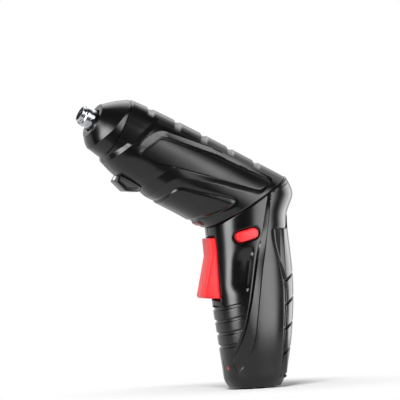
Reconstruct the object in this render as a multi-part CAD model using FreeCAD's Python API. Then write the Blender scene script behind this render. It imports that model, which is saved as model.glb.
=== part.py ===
import FreeCAD, Part
import functools
import math
import os

from FreeCAD import Placement, Rotation, Vector

# Cordless screwdriver: a pistol handle and a head that turns on an oblique swivel.
# Millimetres. Z runs up the handle, -X is the trigger side, -Y is the left side.
# The origin is on the base plane under the handle's axis.
# The head is drawn about its own axis, from the swivel centre, and is then folded to the pistol rest.

# Housings and fits
wall = 2.4             # moulded wall of the handle and the head
rib = 1.6              # ribs and webs inside them
seam = 0.4             # gap between handle and head at the swivel
fit = 0.15             # play of a fixed piece in its seat
slip = 0.05            # radial play of a shaft in its bore
air = 0.4              # gap between pieces that move past each other
overrun = 90.0         # reach of a cutting solid past what it cuts
section_power = 2.2    # squareness of the housing sections, 2 is an ellipse
section_steps = 12     # steps round one half of a section
swivel_tilt = 30.0     # degrees from Z to the swivel axis
swivel_sweep = 180.0   # degrees between the pistol and the straight position

# Planetary gears
gear_module = 0.7
sun_teeth = 9
planet_teeth = 15
planet_count = 3
pressure_angle = math.radians(25.0)
addendum_share = 0.8   # of the module
dedendum_share = 1.05  # of the module
backlash = 0.08
gear_width = 5.5
ring_wall = 1.7        # behind the ring gear's teeth
carrier_plate = 2.5
carrier_rim = 2.6      # plate outside the planet pins
planet_pin_radius = 1.6
flank_shares = (0.0, 0.35, 0.7, 1.0)

# Motor
motor_radius = 12.2
motor_length = 31.0
motor_wall = 1.2
motor_cap = 3.0        # depth of the rear end cap
motor_boss_radius = 3.2
motor_boss = 1.6
shaft_radius = 1.15
magnet_thickness = 2.8
magnet_length = 20.0
magnet_sweep = 120.0
core_length = 15.0
core_hub_radius = 3.0
core_shoe = 1.1        # thickness of the pole shoes
core_spoke = 3.0
shoe_sweep = 100.0
coil_end = 1.5         # winding that stands past the core
coil_count = 3
plate = 2.0            # motor plate and gearbox cover

# Spindle and chuck
bit_flats = 6.35       # hexagon bit across flats
bit_play = 0.1
bit_depth = 14.0
mouth_radius = 3.8     # round lead-in before the hexagon
mouth_depth = 1.0
magnet_radius = 2.5
bit_magnet_length = 3.0
spindle_radius = 4.5
journal_radius = 5.2
tail_flats = 6.0       # hexagon that drives the spindle from the carrier
bush_radius = 8.0
bush_length = 9.0
nose_lip = 1.2         # web in front of the bush
nose_recess = 7.4      # pocket round the sleeve
nose_boss_radius = 12.0
chuck_stickout = 8.2   # nose face to spindle tip
sleeve_radius = 5.75
sleeve_length = 9.0
sleeve_land = 3.0
sleeve_wall = 0.45     # round the sleeve's spring
sleeve_room = 0.9      # radial gap to the nose pocket
tip_length = 1.4       # spindle in front of the snap ring
snap_width = 0.8
snap_depth = 0.35
snap_height = 1.05
snap_gap = 2.4
ball_radius = 1.1
ball_place = 1.5       # behind the sleeve's front edge
shoulder_gap = 1.5     # nose pocket floor to spindle shoulder

# Space behind the motor for the swivel and the leads
motor_room = 27.5

# Handle
battery_radius = 9.2
battery_length = 65.0
battery_offset = 4.5   # battery axis behind the handle axis
foot_height = 1.0
foot_length = 8.5      # half length along X
foot_width = 7.5       # half width along Y
foot_offset = 5.5
foot_flange = 1.0
port_length = 6.5
port_inset = 0.6
port_width = 8.94
port_height = 3.26
port_wall = 0.3
port_tongue = 0.7
port_tongue_width = 6.6
board_thickness = 1.2
board_ledge = 1.5
contact_radius = 3.0
contact_height = 1.3
selector_switch_height = 5.0
selector_switch_depth = 10.0
selector_switch_width = 16.0
swivel_room = 21.5     # direction switch to the swivel centre

# Trigger
trigger_width = 13.0
trigger_drop = 18.4    # swivel centre down to the trigger's top
trigger_length = 35.2
front_grip_gap = 1.276   # trigger's bottom down to the front grip's top
trigger_break = 10.1   # top down to the bend of the front face
trigger_lift = 1.8     # front face proud of the handle at the top
trigger_reach = 8.2    # the same at the bottom
trigger_heel = 2.6     # height of the sloping lower lip
trigger_heel_set = 1.4
trigger_back_top = 5.6     # depth inside the handle's front at the top
trigger_back_bottom = 2.4  # the same at the bottom
trigger_bevel = 1.2
trigger_hub_radius = 2.6
trigger_pin_radius = 1.25
trigger_pin_drop = 2.8
trigger_pin_set = 3.8  # pin behind the handle's front face
trigger_pin_hold = 2.2
switch_depth = 7.4
switch_width = 15.0
switch_height = 13.0
switch_back_gap = 0.6  # to the battery
plunger_side = 3.2
plunger_depth = 4.5    # inside the switch body
plunger_room = 3.2     # free depth behind the plunger
plunger_rise = 7.0     # above the switch's underside
trigger_spring_radius = 2.2
trigger_spring_wire = 0.6
trigger_spring_turns = 5
trigger_spring_drop = 14.6

# Direction button
button_length = 14.0
button_height = 6.4
button_tilt = 14.0
button_offset = 5.6    # in front of the handle axis
button_drop = 18.0     # below the swivel centre
button_proud = 1.4
button_depth = 5.5
button_bevel = 0.8
button_core = 4.0
button_play = 0.25

# Charge light
light_radius = 1.1
light_height = 12.0
light_offset = 4.5     # to the left of the mid plane
light_block = 2.0

# Grips
grip_depth = 1.2       # sunk into the wall
grip_proud = 0.5
grip_groove = 1.0
grip_groove_depth = 1.0
rear_groove_count = 5
rear_groove_pitch = 13.0
rear_groove_first = 16.0
rear_groove_tilt = 30.0
front_groove_count = 3
front_groove_pitch = 7.2
front_groove_first = 24.5
front_groove_tilt = 14.0

# Swivel
hub_radius = 9.0
hub_bore_radius = 6.0
hub_flange_radius = 13.0
hub_flange = 2.0
hub_end = 1.0          # hub past the clip
clip_radius = 11.5
clip_thickness = 1.2
clip_depth = 0.8
clip_gap = 5.0
stop_pin_radius = 1.2
stop_circle = 12.5
stop_length = 2.2
stop_angle = 100.0     # in the straight position, from the back
stop_play = 0.3
detent_radius = 1.5
detent_circle = 16.5
detent_angle = 225.0
detent_rise = 0.4      # ball above the head's end face
detent_pocket = 5.0
detent_wire = 0.35
detent_turns = 4
detent_groove_play = 0.3
lead_radius = 1.2
lead_drop = 16.0       # where the handle's lead joins the swivel axis

# Lock button on the head's rim
lock_width = 11.0
lock_height = 4.0
lock_rise = 2.0        # above the head's end face
lock_proud = 0.8
lock_neck = 4.8
lock_flange = 1.2
lock_flange_thickness = 1.3
lock_spring_radius = 1.5
lock_spring_wire = 0.4
lock_spring_turns = 3
lock_spring_length = 3.4

# Work light under the head
lamp_width = 11.0
lamp_lens_radius = 1.4
lamp_lens_depth = 1.2
lamp_led_radius = 1.1
lamp_led_length = 4.0
lamp_lens_inset = 0.7  # lens edge to the housing's outer corner

# Head panels and rib pads
panel_recess = 0.8
panel_thickness = 0.8
pad_height = 0.6
pad_root = 1.0
pad_count = 5
pad_pitch = 16.7
pad_length = 12.6
pad_slant = 4.0
pad_front_gap = 1.0    # first pad to the nose

# Screws
screw_radius = 1.25
screw_head_radius = 2.4
screw_head = 1.8
screw_bite = 7.0       # thread in the far boss
screw_sink = 2.4       # head below the face that covers it
boss_radius = 3.0

# Sizes that follow from the above
ring_teeth = sun_teeth + 2 * planet_teeth
planet_circle = gear_module * (sun_teeth + planet_teeth) / 2
addendum = addendum_share * gear_module
dedendum = dedendum_share * gear_module
ring_radius = gear_module * ring_teeth / 2 + dedendum + ring_wall
gear_room_share = 0.842    # head section at the gearbox, of the body radius
body_radius = (ring_radius + fit + wall + fit) / gear_room_share

# Heights up the handle
port_top = port_inset + port_length
board_top = port_top + board_thickness
battery_floor = board_top + contact_height
battery_top = battery_floor + battery_length
top_rib_floor = battery_top + fit
selector_floor = top_rib_floor + rib + fit
selector_top = selector_floor + selector_switch_height
grip_height = selector_top + swivel_room

# Heights up the head, from the swivel centre
motor_rear = motor_room
motor_front = motor_rear + motor_length
gears_1_rear = motor_front + plate + air
carrier_1_rear = gears_1_rear + gear_width + air
gears_2_rear = carrier_1_rear + carrier_plate + air
carrier_2_rear = gears_2_rear + gear_width + air
cover_rear = carrier_2_rear + carrier_plate + air
bush_rear = cover_rear + plate + fit
nose_floor = bush_rear + bush_length + nose_lip
nose_face = nose_floor + nose_recess
head_reach = nose_face + chuck_stickout
shoulder = nose_floor + shoulder_gap
snap_rear = head_reach - tip_length - snap_width
sleeve_front = snap_rear - slip
sleeve_rear = sleeve_front - sleeve_length

# Handle sections: height share of the grip, then front, back and half width shares of the body radius
handle_shares = (
    (0.000, 0.551, 0.720, 0.578),
    (0.025, 0.631, 0.791, 0.649),
    (0.078, 0.689, 0.862, 0.702),
    (0.176, 0.733, 0.964, 0.742),
    (0.314, 0.800, 1.071, 0.787),
    (0.471, 0.880, 1.138, 0.822),
    (0.627, 0.911, 1.142, 0.849),
    (0.765, 0.924, 1.084, 0.880),
    (0.863, 0.960, 1.067, 0.925),
    (0.931, 0.975, 1.130, 0.955),
    (0.990, 0.990, 1.265, 0.985),
    (1.039, 1.000, 1.240, 1.005),
    (1.108, 1.010, 1.110, 1.015),
    (1.186, 1.020, 0.960, 1.020),
    (1.264, 1.020, 0.810, 1.020),
    (1.342, 1.020, 0.660, 1.020),
)

# Head sections: height share of the reach, then top, underside and half width shares of the body radius
head_shares = (
    (-0.169, 1.030, 1.030, 1.020),
    (-0.047, 1.022, 1.030, 1.018),
    (0.075, 1.006, 1.028, 1.008),
    (0.197, 0.996, 1.010, 0.992),
    (0.319, 0.984, 1.007, 0.976),
    (0.441, 0.967, 1.024, 0.955),
    (0.563, 0.944, 1.018, 0.931),
    (0.685, 0.913, 0.947, 0.896),
    (0.802, 0.867, 0.764, 0.818),
)
nose_shares = (
    (0.802, 0.867, 0.764, 0.818),
    (0.872, 0.640, 0.649, 0.644),
)
nose_face_share = 0.458

# Outlines seen from the side: X share of the body radius, height share of the grip or the reach
rear_grip_shares = ((0.47, 0.89), (0.50, 0.80), (0.77, 0.55), (0.75, 0.36), (0.66, 0.16), (0.55, 0.04),
                    (1.60, 0.04), (1.60, 0.89))
front_top_share = 0.462   # top of the front grip
front_grip_shares = ((-0.40, front_top_share), (-0.44, 0.35), (-0.54, 0.22), (-0.66, 0.16), (-1.20, 0.15),
                     (-1.20, 0.440))
side_panel_shares = ((0.49, 0.675), (-0.27, 0.610), (-0.53, 0.310), (-0.66, 0.075), (-0.36, 0.030),
                     (0.36, 0.495))
lamp_shares = ((0.88, 0.545), (0.88, 0.685), (1.09, 0.690), (1.19, 0.610), (1.05, 0.545))
pad_edge_share = 0.70   # X where the rib pads end on the side
front_screw_shares = ((-0.46, 0.250), (-0.49, 0.415))
rear_screw_shares = ((0.70, 0.815),)
head_screw_shares = ((-0.51, 0.075), (-0.42, 0.205))
handle_rib_shares = (0.17, 0.33)

centre = Vector(0, 0, 0)
along_x = Vector(1, 0, 0)
along_y = Vector(0, 1, 0)
along_z = Vector(0, 0, 1)
tilt_turn = Rotation(along_y, -swivel_tilt)
swivel_axis = tilt_turn.multVec(along_z)
head_fold = Placement(Vector(0, 0, grip_height), Rotation(swivel_axis, swivel_sweep))


# Shapes that are used again and again

def box(x, y, z):
    # x, y and z are pairs of lower and upper limits
    block = Part.makeBox(x[1] - x[0], y[1] - y[0], z[1] - z[0])
    block.translate(Vector(x[0], y[0], z[0]))
    return block


def rod(radius, low, high, x=0.0, y=0.0):
    return Part.makeCylinder(radius, high - low, Vector(x, y, low), along_z)


def rod_x(radius, low, high, y, z):
    return Part.makeCylinder(radius, high - low, Vector(low, y, z), along_x)


def rod_y(radius, low, high, x, z):
    return Part.makeCylinder(radius, high - low, Vector(x, low, z), along_y)


def tube(outer, inner, low, high):
    return rod(outer, low, high).cut(rod(inner, low, high))


def side_prism(points, low, high):
    # outline in X and Z, drawn out along Y
    corners = [Vector(x, low, z) for x, z in points]
    face = Part.Face(Part.makePolygon(corners + corners[:1]))
    return face.extrude(Vector(0, high - low, 0))


def flat_prism(points, low, high):
    # outline in X and Y, drawn out along Z
    corners = [Vector(x, y, low) for x, y in points]
    face = Part.Face(Part.makePolygon(corners + corners[:1]))
    return face.extrude(Vector(0, 0, high - low))


def hexagon(flats, low, high):
    corner = flats / math.sqrt(3)
    turns = [math.radians(60 * step) for step in range(6)]
    return flat_prism([(corner * math.cos(t), corner * math.sin(t)) for t in turns], low, high)


def stadium(length, height, low, high):
    # oblong with round ends, long along X, drawn out along Z
    half = (length - height) / 2
    middle = box((-half, half), (-height / 2, height / 2), (low, high))
    return middle.fuse([rod(height / 2, low, high, -half), rod(height / 2, low, high, half)]).removeSplitter()


def sector(outer, inner, sweep, low, high):
    # part of a ring, centred on +X
    ring = Part.makeCylinder(outer, high - low, Vector(0, 0, low), along_z, sweep)
    ring.rotate(centre, along_z, -sweep / 2)
    return ring.cut(rod(inner, low, high))


def turned(shape, angle, axis=along_z, about=centre):
    copy = shape.copy()
    copy.rotate(about, axis, angle)
    return copy


def moved(shape, x=0.0, y=0.0, z=0.0):
    copy = shape.copy()
    copy.translate(Vector(x, y, z))
    return copy


def mirrored(shape):
    return shape.mirror(centre, along_y)


def on_swivel(shape, height):
    # from a frame with Z along the swivel axis and X towards the back
    copy = shape.copy()
    copy.Placement = Placement(Vector(0, 0, height), tilt_turn).multiply(copy.Placement)
    return copy


def both_sides(half):
    return half.fuse(mirrored(half)).removeSplitter()


def section(front, back, half_width, height):
    # points of a section's left half, from the front to the back
    points = []
    for step in range(section_steps + 1):
        angle = math.pi * step / section_steps
        c = -math.cos(angle)
        s = math.sin(angle) if 0 < step < section_steps else 0.0
        depth = back if c > 0 else front
        x = math.copysign(depth * abs(c) ** (2 / section_power), c)
        y = -half_width * s ** (2 / section_power)
        points.append(Vector(x, y, height))
    return points


def half_form(sections):
    # solid left half of a housing, smooth through its sections and flat on the mid plane
    surface = Part.BSplineSurface()
    surface.interpolate(sections)
    side = surface.toShape()
    level = [edge for edge in side.Edges if abs(edge.Vertexes[0].Z - edge.Vertexes[-1].Z) < slip]
    rising = [edge for edge in side.Edges if abs(edge.Vertexes[0].Z - edge.Vertexes[-1].Z) >= slip]
    chords = [Part.makeLine(edge.Vertexes[0].Point, edge.Vertexes[-1].Point) for edge in level]
    faces = [side]
    for pair in zip(level, chords):
        faces.append(Part.Face(Part.Wire(Part.sortEdges(list(pair))[0])))
    faces.append(Part.Face(Part.Wire(Part.sortEdges(rising + chords)[0])))
    skin = Part.makeCompound(faces)
    skin.sewShape()
    solid = Part.Solid(skin.Shells[0])
    if solid.Volume < 0:
        solid.reverse()
    return solid


def depths(shares, inset):
    return [share * body_radius - inset for share in shares]


@functools.lru_cache(maxsize=None)
def handle_form(inset):
    rise = grip_height - foot_height
    return half_form([section(*depths(row[1:], inset), foot_height + row[0] * rise) for row in handle_shares])


@functools.lru_cache(maxsize=None)
def head_form(inset):
    return half_form([section(*depths(row[1:], inset), row[0] * head_reach) for row in head_shares])


def nose_form(inset):
    # left half of the nose cone, straight between its sections
    face = nose_face_share * body_radius - inset
    rows = [section(*depths(row[1:], inset), row[0] * head_reach) for row in nose_shares]
    rows.append(section(face, face, face, nose_face))
    wires = []
    for points in rows:
        curve = Part.BSplineCurve()
        curve.interpolate(points)
        wires.append(Part.Wire([curve.toShape(), Part.makeLine(points[-1], points[0])]))
    return Part.makeLoft(wires, True, True)


def below_swivel(drop, height):
    # everything under the swivel plane lowered by drop
    block = box((-overrun, overrun), (-overrun, overrun), (-3 * overrun, -drop))
    return on_swivel(block, height)


def above_swivel(lift, height):
    block = box((-overrun, overrun), (-overrun, overrun), (lift, 3 * overrun))
    return on_swivel(block, height)


def grip_points(shares):
    return [(x * body_radius, foot_height + z * (grip_height - foot_height)) for x, z in shares]


def front_points(shares):
    # the front grip and its screws keep clear of the trigger
    rise = (trigger_bottom - front_grip_gap - foot_height) / front_top_share
    return [(x * body_radius, foot_height + z * rise) for x, z in shares]


def head_points(shares):
    return [(x * body_radius, z * head_reach) for x, z in shares]


def biarc(start, start_way, end, end_way):
    # two tangent arcs from start to end
    span = end - start
    both = start_way + end_way
    bend = 2 * (1 - start_way.dot(end_way))
    reach = (-span.dot(both) + math.sqrt(span.dot(both) ** 2 + bend * span.dot(span))) / bend
    joint = (start + end + (start_way - end_way) * reach) * 0.5
    return [tangent_arc(start, start_way, joint), tangent_arc(end, end_way * -1, joint)[::-1]]


def tangent_arc(start, way, end):
    # start, middle and end of the arc that leaves start along way
    chord = end - start
    length = chord.Length
    chord.normalize()
    angle = way.getAngle(chord)
    side = way - chord * way.dot(chord)
    side.normalize()
    rise = length / 2 * math.tan(angle / 2)
    return [start, start + chord * (length / 2) + side * rise, end]


def spring(radius, wire, length, turns):
    # compression spring along Z, its wire ends inside the length
    rise = length - wire
    quarters = 4 * turns
    pitch = rise / quarters
    edges = []
    for step in range(quarters):
        ends = []
        for place in (step, step + 1):
            angle = math.pi / 2 * place
            point = Vector(radius * math.cos(angle), radius * math.sin(angle), wire / 2 + pitch * place)
            way = Vector(-radius * math.sin(angle), radius * math.cos(angle), pitch * 2 / math.pi)
            way.normalize()
            ends += [point, way]
        for arc in biarc(*ends):
            edges.append(Part.Arc(*arc).toShape())
    path = Part.Wire(edges)
    ring = Part.Wire(Part.makeCircle(wire / 2, edges[0].valueAt(edges[0].FirstParameter),
                                     edges[0].tangentAt(edges[0].FirstParameter)))
    return path.makePipeShell([ring], True, False)


lead_bend_share = 0.45   # of the shorter run, taken up by a bend


def lead(points):
    # round lead along straight runs that are joined by tangent arcs
    edges = []
    start = points[0]
    for before, corner, after in zip(points, points[1:], points[2:]):
        back = before - corner
        ahead = after - corner
        turn = math.pi - back.getAngle(ahead)
        cut = lead_bend_share * min(back.Length, ahead.Length)
        back.normalize()
        ahead.normalize()
        middle = back + ahead
        middle.normalize()
        radius = cut / math.tan(turn / 2)
        peak = corner + middle * (radius / math.cos(turn / 2) - radius)
        edges.append(Part.LineSegment(start, corner + back * cut).toShape())
        edges.append(Part.Arc(corner + back * cut, peak, corner + ahead * cut).toShape())
        start = corner + ahead * cut
    edges.append(Part.LineSegment(start, points[-1]).toShape())
    way = points[1] - points[0]
    ring = Part.Wire(Part.makeCircle(lead_radius, points[0], way))
    return Part.Wire(edges).makePipeShell([ring], True, False)


# Gears

def involute(angle):
    return math.tan(angle) - angle


def gear(teeth, outer, root, thinning, low, high):
    # straight toothed gear with a tooth centred on +X
    pitch_radius = gear_module * teeth / 2
    base = pitch_radius * math.cos(pressure_angle)
    half = math.pi / (2 * teeth) - thinning / (2 * pitch_radius)
    start = max(base, root)
    flank = []
    for share in flank_shares:
        radius = start + share * (outer - start)
        roll = math.acos(min(1.0, base / radius))
        flank.append((radius, half + involute(pressure_angle) - involute(roll)))
    if root < base:
        flank.insert(0, (root, flank[0][1]))
    points = []
    for tooth in range(teeth):
        middle = 2 * math.pi * tooth / teeth
        for radius, angle in flank:
            points.append((radius * math.cos(middle - angle), radius * math.sin(middle - angle)))
        for radius, angle in reversed(flank):
            points.append((radius * math.cos(middle + angle), radius * math.sin(middle + angle)))
    return flat_prism(points, low, high)


def outside_gear(teeth, low, high):
    pitch_radius = gear_module * teeth / 2
    return gear(teeth, pitch_radius + addendum, pitch_radius - dedendum, backlash / 2, low, high)


def planet(number, low):
    wheel = outside_gear(planet_teeth, low, low + gear_width)
    wheel = wheel.cut(rod(planet_pin_radius + slip, low, low + gear_width))
    angle = 2 * math.pi * number / planet_count
    return moved(wheel, planet_circle * math.cos(angle), planet_circle * math.sin(angle))


def carrier(low):
    # plate with planet pins towards the motor
    disc = rod(planet_circle + carrier_rim, low, low + carrier_plate)
    pins = []
    for number in range(planet_count):
        angle = 2 * math.pi * number / planet_count
        x = planet_circle * math.cos(angle)
        y = planet_circle * math.sin(angle)
        pins.append(rod(planet_pin_radius, low - air - gear_width, low, x, y))
    return disc.fuse(pins).removeSplitter()


def first_carrier():
    sun = outside_gear(sun_teeth, carrier_1_rear + carrier_plate, gears_2_rear + gear_width)
    return carrier(carrier_1_rear).fuse(sun)


def output_carrier():
    top = carrier_2_rear + carrier_plate
    return carrier(carrier_2_rear).cut(hexagon(tail_flats + 2 * slip, carrier_2_rear, top))


def ring_gear():
    low = motor_front + plate
    pitch_radius = gear_module * ring_teeth / 2
    teeth = gear(ring_teeth, pitch_radius + dedendum, pitch_radius - addendum, -backlash / 2, low, cover_rear)
    return rod(ring_radius, low, cover_rear).cut(teeth)


def motor_plate():
    disc = rod(ring_radius, motor_front, motor_front + plate)
    return disc.cut(rod(motor_boss_radius + fit, motor_front, motor_front + plate))


def gearbox_cover():
    return tube(ring_radius, journal_radius + air, cover_rear, cover_rear + plate)


# Motor

can_bore = motor_radius - motor_wall
core_radius = can_bore - magnet_thickness - air
magnet_rear = motor_rear + motor_cap + (motor_length - motor_cap - motor_wall - magnet_length) / 2
core_rear = magnet_rear + (magnet_length - core_length) / 2


def motor_can():
    can = rod(motor_radius, motor_rear + motor_cap / 2, motor_front)
    can = can.fuse(rod(motor_boss_radius, motor_front, motor_front + motor_boss))
    can = can.cut(rod(can_bore, motor_rear, motor_front - motor_wall))
    return can.cut(rod(shaft_radius + slip, motor_rear, motor_front + plate))


def motor_end_cap():
    rim = rod(motor_radius, motor_rear, motor_rear + motor_cap / 2)
    plug = rod(can_bore, motor_rear, motor_rear + motor_cap)
    return rim.fuse(plug).removeSplitter().cut(rod(shaft_radius + slip, motor_rear, motor_front))


def motor_magnets():
    arc = sector(can_bore, can_bore - magnet_thickness, magnet_sweep, magnet_rear, magnet_rear + magnet_length)
    return Part.makeCompound([arc, turned(arc, 180.0)])


def armature_core():
    top = core_rear + core_length
    hub = rod(core_hub_radius, core_rear, top)
    spoke = box((0, core_radius - core_shoe / 2), (-core_spoke / 2, core_spoke / 2), (core_rear, top))
    shoe = sector(core_radius, core_radius - core_shoe, shoe_sweep, core_rear, top)
    poles = []
    for number in range(coil_count):
        angle = 360.0 * number / coil_count
        poles += [turned(spoke, angle), turned(shoe, angle)]
    core = hub.fuse(poles).removeSplitter()
    return core.cut(rod(shaft_radius, core_rear, top))


def armature_coils():
    # windings in the gaps between the spokes
    low = core_rear - coil_end
    high = core_rear + core_length + coil_end
    outer = core_radius - core_shoe - slip
    ring = tube(outer, core_hub_radius + slip, low, high)
    gap = core_spoke / 2 + slip
    for number in range(coil_count):
        spoke = box((0, core_radius), (-gap, gap), (low, high))
        ring = ring.cut(turned(spoke, 360.0 * number / coil_count))
    return Part.makeCompound(ring.Solids)


def motor_shaft():
    # shaft with the first sun cut on its end
    shaft = rod(shaft_radius, motor_rear, gears_1_rear)
    return shaft.fuse(outside_gear(sun_teeth, gears_1_rear, gears_1_rear + gear_width))


# Spindle and chuck

sleeve_bore = spindle_radius + slip
spring_bore = sleeve_radius - sleeve_wall
sleeve_spring_wire = 0.5
sleeve_spring_turns = 5
sleeve_travel = sleeve_rear - shoulder - air


def spindle():
    drive = hexagon(tail_flats, carrier_2_rear, carrier_2_rear + carrier_plate)
    journal = rod(journal_radius, carrier_2_rear + carrier_plate, shoulder)
    front = rod(spindle_radius, shoulder, head_reach)
    bar = drive.fuse([journal, front])
    bar = bar.cut(tube(sleeve_radius, spindle_radius - snap_depth, snap_rear, snap_rear + snap_width))
    bar = bar.cut(rod(mouth_radius, head_reach - mouth_depth, head_reach))
    bar = bar.cut(hexagon(bit_flats + bit_play, head_reach - bit_depth, head_reach))
    floor = head_reach - bit_depth
    bar = bar.cut(rod(magnet_radius, floor - bit_magnet_length, floor))
    return bar.cut(rod_y(ball_radius + slip, 0, sleeve_radius, 0, sleeve_front - ball_place))


def bit_magnet():
    floor = head_reach - bit_depth
    return rod(magnet_radius, floor - bit_magnet_length, floor)


def snap_ring():
    groove = spindle_radius - snap_depth
    ring = tube(groove + snap_height, groove + slip, snap_rear + slip, snap_rear + snap_width - slip)
    gap = box((0, sleeve_radius), (-snap_gap / 2, snap_gap / 2), (snap_rear, snap_rear + snap_width))
    return ring.cut(gap)


def chuck_sleeve():
    sleeve = tube(sleeve_radius, sleeve_bore, sleeve_rear, sleeve_front)
    sleeve = sleeve.cut(rod(spring_bore, sleeve_rear, sleeve_front - sleeve_land))
    rims = [edge for edge in sleeve.Edges if abs(edge.Length - 2 * math.pi * sleeve_radius) < slip]
    return sleeve.makeChamfer(sleeve_wall / 2, rims)


def sleeve_spring():
    low = shoulder + slip
    high = sleeve_front - sleeve_land - slip
    middle = (spindle_radius + spring_bore) / 2
    return moved(spring(middle, sleeve_spring_wire, high - low, sleeve_spring_turns), z=low)


def lock_ball():
    return Part.makeSphere(ball_radius, Vector(0, spindle_radius - ball_radius, sleeve_front - ball_place))


def spindle_bush():
    return tube(bush_radius, journal_radius + slip, bush_rear, bush_rear + bush_length)


# Head housing

deck = wall
rim_top = seam / 2 + deck
nose_joint = nose_shares[0][0] * head_reach


def nose_cap():
    # cone in front of the shells, with the boss that carries the spindle's bush
    boss = rod(nose_boss_radius, bush_rear, nose_floor)
    hollow = nose_form(wall).common(box((-overrun, overrun), (-overrun, 0), (0, nose_floor - nose_lip)))
    gap = box((-overrun, overrun), (-overrun, 0), (nose_joint, nose_joint + fit))
    cap = both_sides(nose_form(0).cut(hollow).cut(gap)).fuse(boss)
    cap = cap.cut(rod(bush_radius, bush_rear, bush_rear + bush_length))
    cap = cap.cut(rod(journal_radius + air, bush_rear, nose_face))
    return cap.cut(rod(sleeve_radius + sleeve_room, nose_floor, head_reach)).removeSplitter()


def side_panel_prism(inset):
    prism = side_prism(head_points(side_panel_shares), -overrun, 0)
    return prism.cut(head_form(inset))


def side_panel():
    outer = side_prism(head_points(side_panel_shares), -overrun, 0).common(head_form(panel_recess))
    return outer.cut(head_form(panel_recess + panel_thickness))


def rib_pads():
    # raised pads along the top of the head, their ends swept forward
    edge = -pad_edge_share * body_radius
    top = -body_radius - pad_height
    front = nose_joint - pad_front_gap
    bars = []
    for number in range(pad_count):
        high = front - number * pad_pitch
        low = high - pad_length
        bars.append(side_prism([(top, low), (top, high), (edge, high + pad_slant), (edge, low + pad_slant)],
                               -overrun, 0))
    bars = Part.makeCompound(bars)
    pads = head_form(-pad_height).common(bars).cut(head_form(pad_root))
    return pads.common(above_swivel(rim_top, 0))


def lamp_block(play):
    points = head_points(lamp_shares)
    half = lamp_width / 2 + play
    return side_prism(points, -half, half)


def lamp_axis():
    # X of the lens centre
    return lamp_shares[2][0] * body_radius - lamp_lens_inset - lamp_lens_radius


lamp_front = lamp_shares[1][1] * head_reach
lamp_bore_floor = lamp_front - lamp_lens_depth - lamp_led_length


def lamp_housing():
    x = lamp_axis()
    block = lamp_block(0).cut(rod(lamp_lens_radius + slip, lamp_front - lamp_lens_depth, head_reach, x))
    return block.cut(rod(lamp_led_radius + slip, lamp_bore_floor, lamp_front, x))


def lamp_lens():
    return rod(lamp_lens_radius, lamp_front - lamp_lens_depth, lamp_front, lamp_axis())


def lamp_led():
    return rod(lamp_led_radius, lamp_bore_floor, lamp_front - lamp_lens_depth - slip, lamp_axis())


lock_outer = body_radius * head_shares[1][2] + lock_proud
lock_low = (seam / 2 + lock_rise) / math.cos(math.radians(swivel_tilt)) + lock_outer * math.tan(
    math.radians(swivel_tilt))
lock_middle = lock_low + lock_height / 2
lock_back = lock_outer - lock_neck - lock_flange_thickness
lock_post = lock_back - lock_spring_length


def lock_window(play):
    half = lock_width / 2 + play
    return box((lock_back, overrun), (-half, half), (lock_low - play, lock_low + lock_height + play))


def lock_button():
    half = lock_width / 2
    cap = box((lock_back, lock_outer), (-half, half), (lock_low, lock_low + lock_height))
    corners = [edge for edge in cap.Edges if abs(edge.Vertexes[0].X - lock_outer) < slip
               and abs(edge.Vertexes[-1].X - lock_outer) < slip]
    cap = cap.makeChamfer(lock_proud / 2, corners)
    wide = half + lock_flange
    flange = box((lock_back, lock_back + lock_flange_thickness), (-wide, wide), (lock_low, lock_low + lock_height))
    return cap.fuse(flange).removeSplitter()


def lock_spring():
    coil = spring(lock_spring_radius, lock_spring_wire, lock_spring_length - 2 * slip, lock_spring_turns)
    coil.rotate(centre, along_y, 90.0)
    return moved(coil, lock_post + slip, 0, lock_middle)


def swivel_hub():
    foot = seam / 2 + deck + fit + clip_thickness + hub_end
    post = rod(hub_radius, -foot, rim_top + hub_flange)
    post = post.fuse(rod(hub_flange_radius, rim_top, rim_top + hub_flange))
    clip_top = -(seam / 2 + deck + fit)
    groove = tube(clip_radius, hub_radius - clip_depth, clip_top - clip_thickness, clip_top)
    post = post.cut(groove).cut(rod(hub_bore_radius, -foot, rim_top + hub_flange))
    return on_swivel(post, 0)


def swivel_clip():
    top = -(seam / 2 + deck + fit)
    ring = tube(clip_radius, hub_radius - clip_depth + slip, top - clip_thickness + slip, top - slip)
    gap = box((0, clip_radius), (-clip_gap / 2, clip_gap / 2), (top - clip_thickness, top))
    return on_swivel(ring.cut(turned(gap, 90.0)), 0)


def stop_pin_shape(radius, low, high, angle):
    return turned(rod(radius, low, high, stop_circle), angle)


def head_leads():
    turn_at = rim_top + hub_flange
    start = swivel_axis * slip
    corner = swivel_axis * turn_at
    return lead([start, corner, Vector(corner.x, 0, motor_rear - slip)])


def head_ribs():
    # rings that hold the motor and the gearbox
    inner = head_form(wall / 2)
    rings = []
    for low, radius in ((motor_rear + motor_cap, motor_radius), (motor_front - 2 * rib, motor_radius),
                        (motor_front + plate, ring_radius), (cover_rear - rib, ring_radius)):
        slab = box((-overrun, overrun), (-overrun, 0), (low, low + rib))
        rings.append(inner.common(slab).cut(rod(radius + fit, low, low + rib)))
    return rings


def head_screw_places():
    return head_points(head_screw_shares)


def half_width_at(form, x, z):
    # outer half width of a form at one place on its side
    inside = form.common(Part.makeLine(Vector(x, -overrun, z), Vector(x, 0, z)))
    return max(-vertex.Y for vertex in inside.Vertexes)


def bosses(form, places):
    posts = [rod_y(boss_radius, -overrun, 0, x, z) for x, z in places]
    return [post.common(form) for post in posts]


def screw_seat(form, x, z):
    # how far the screw head's underside lies from the mid plane
    return half_width_at(form, x, z) - screw_head - screw_sink


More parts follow.
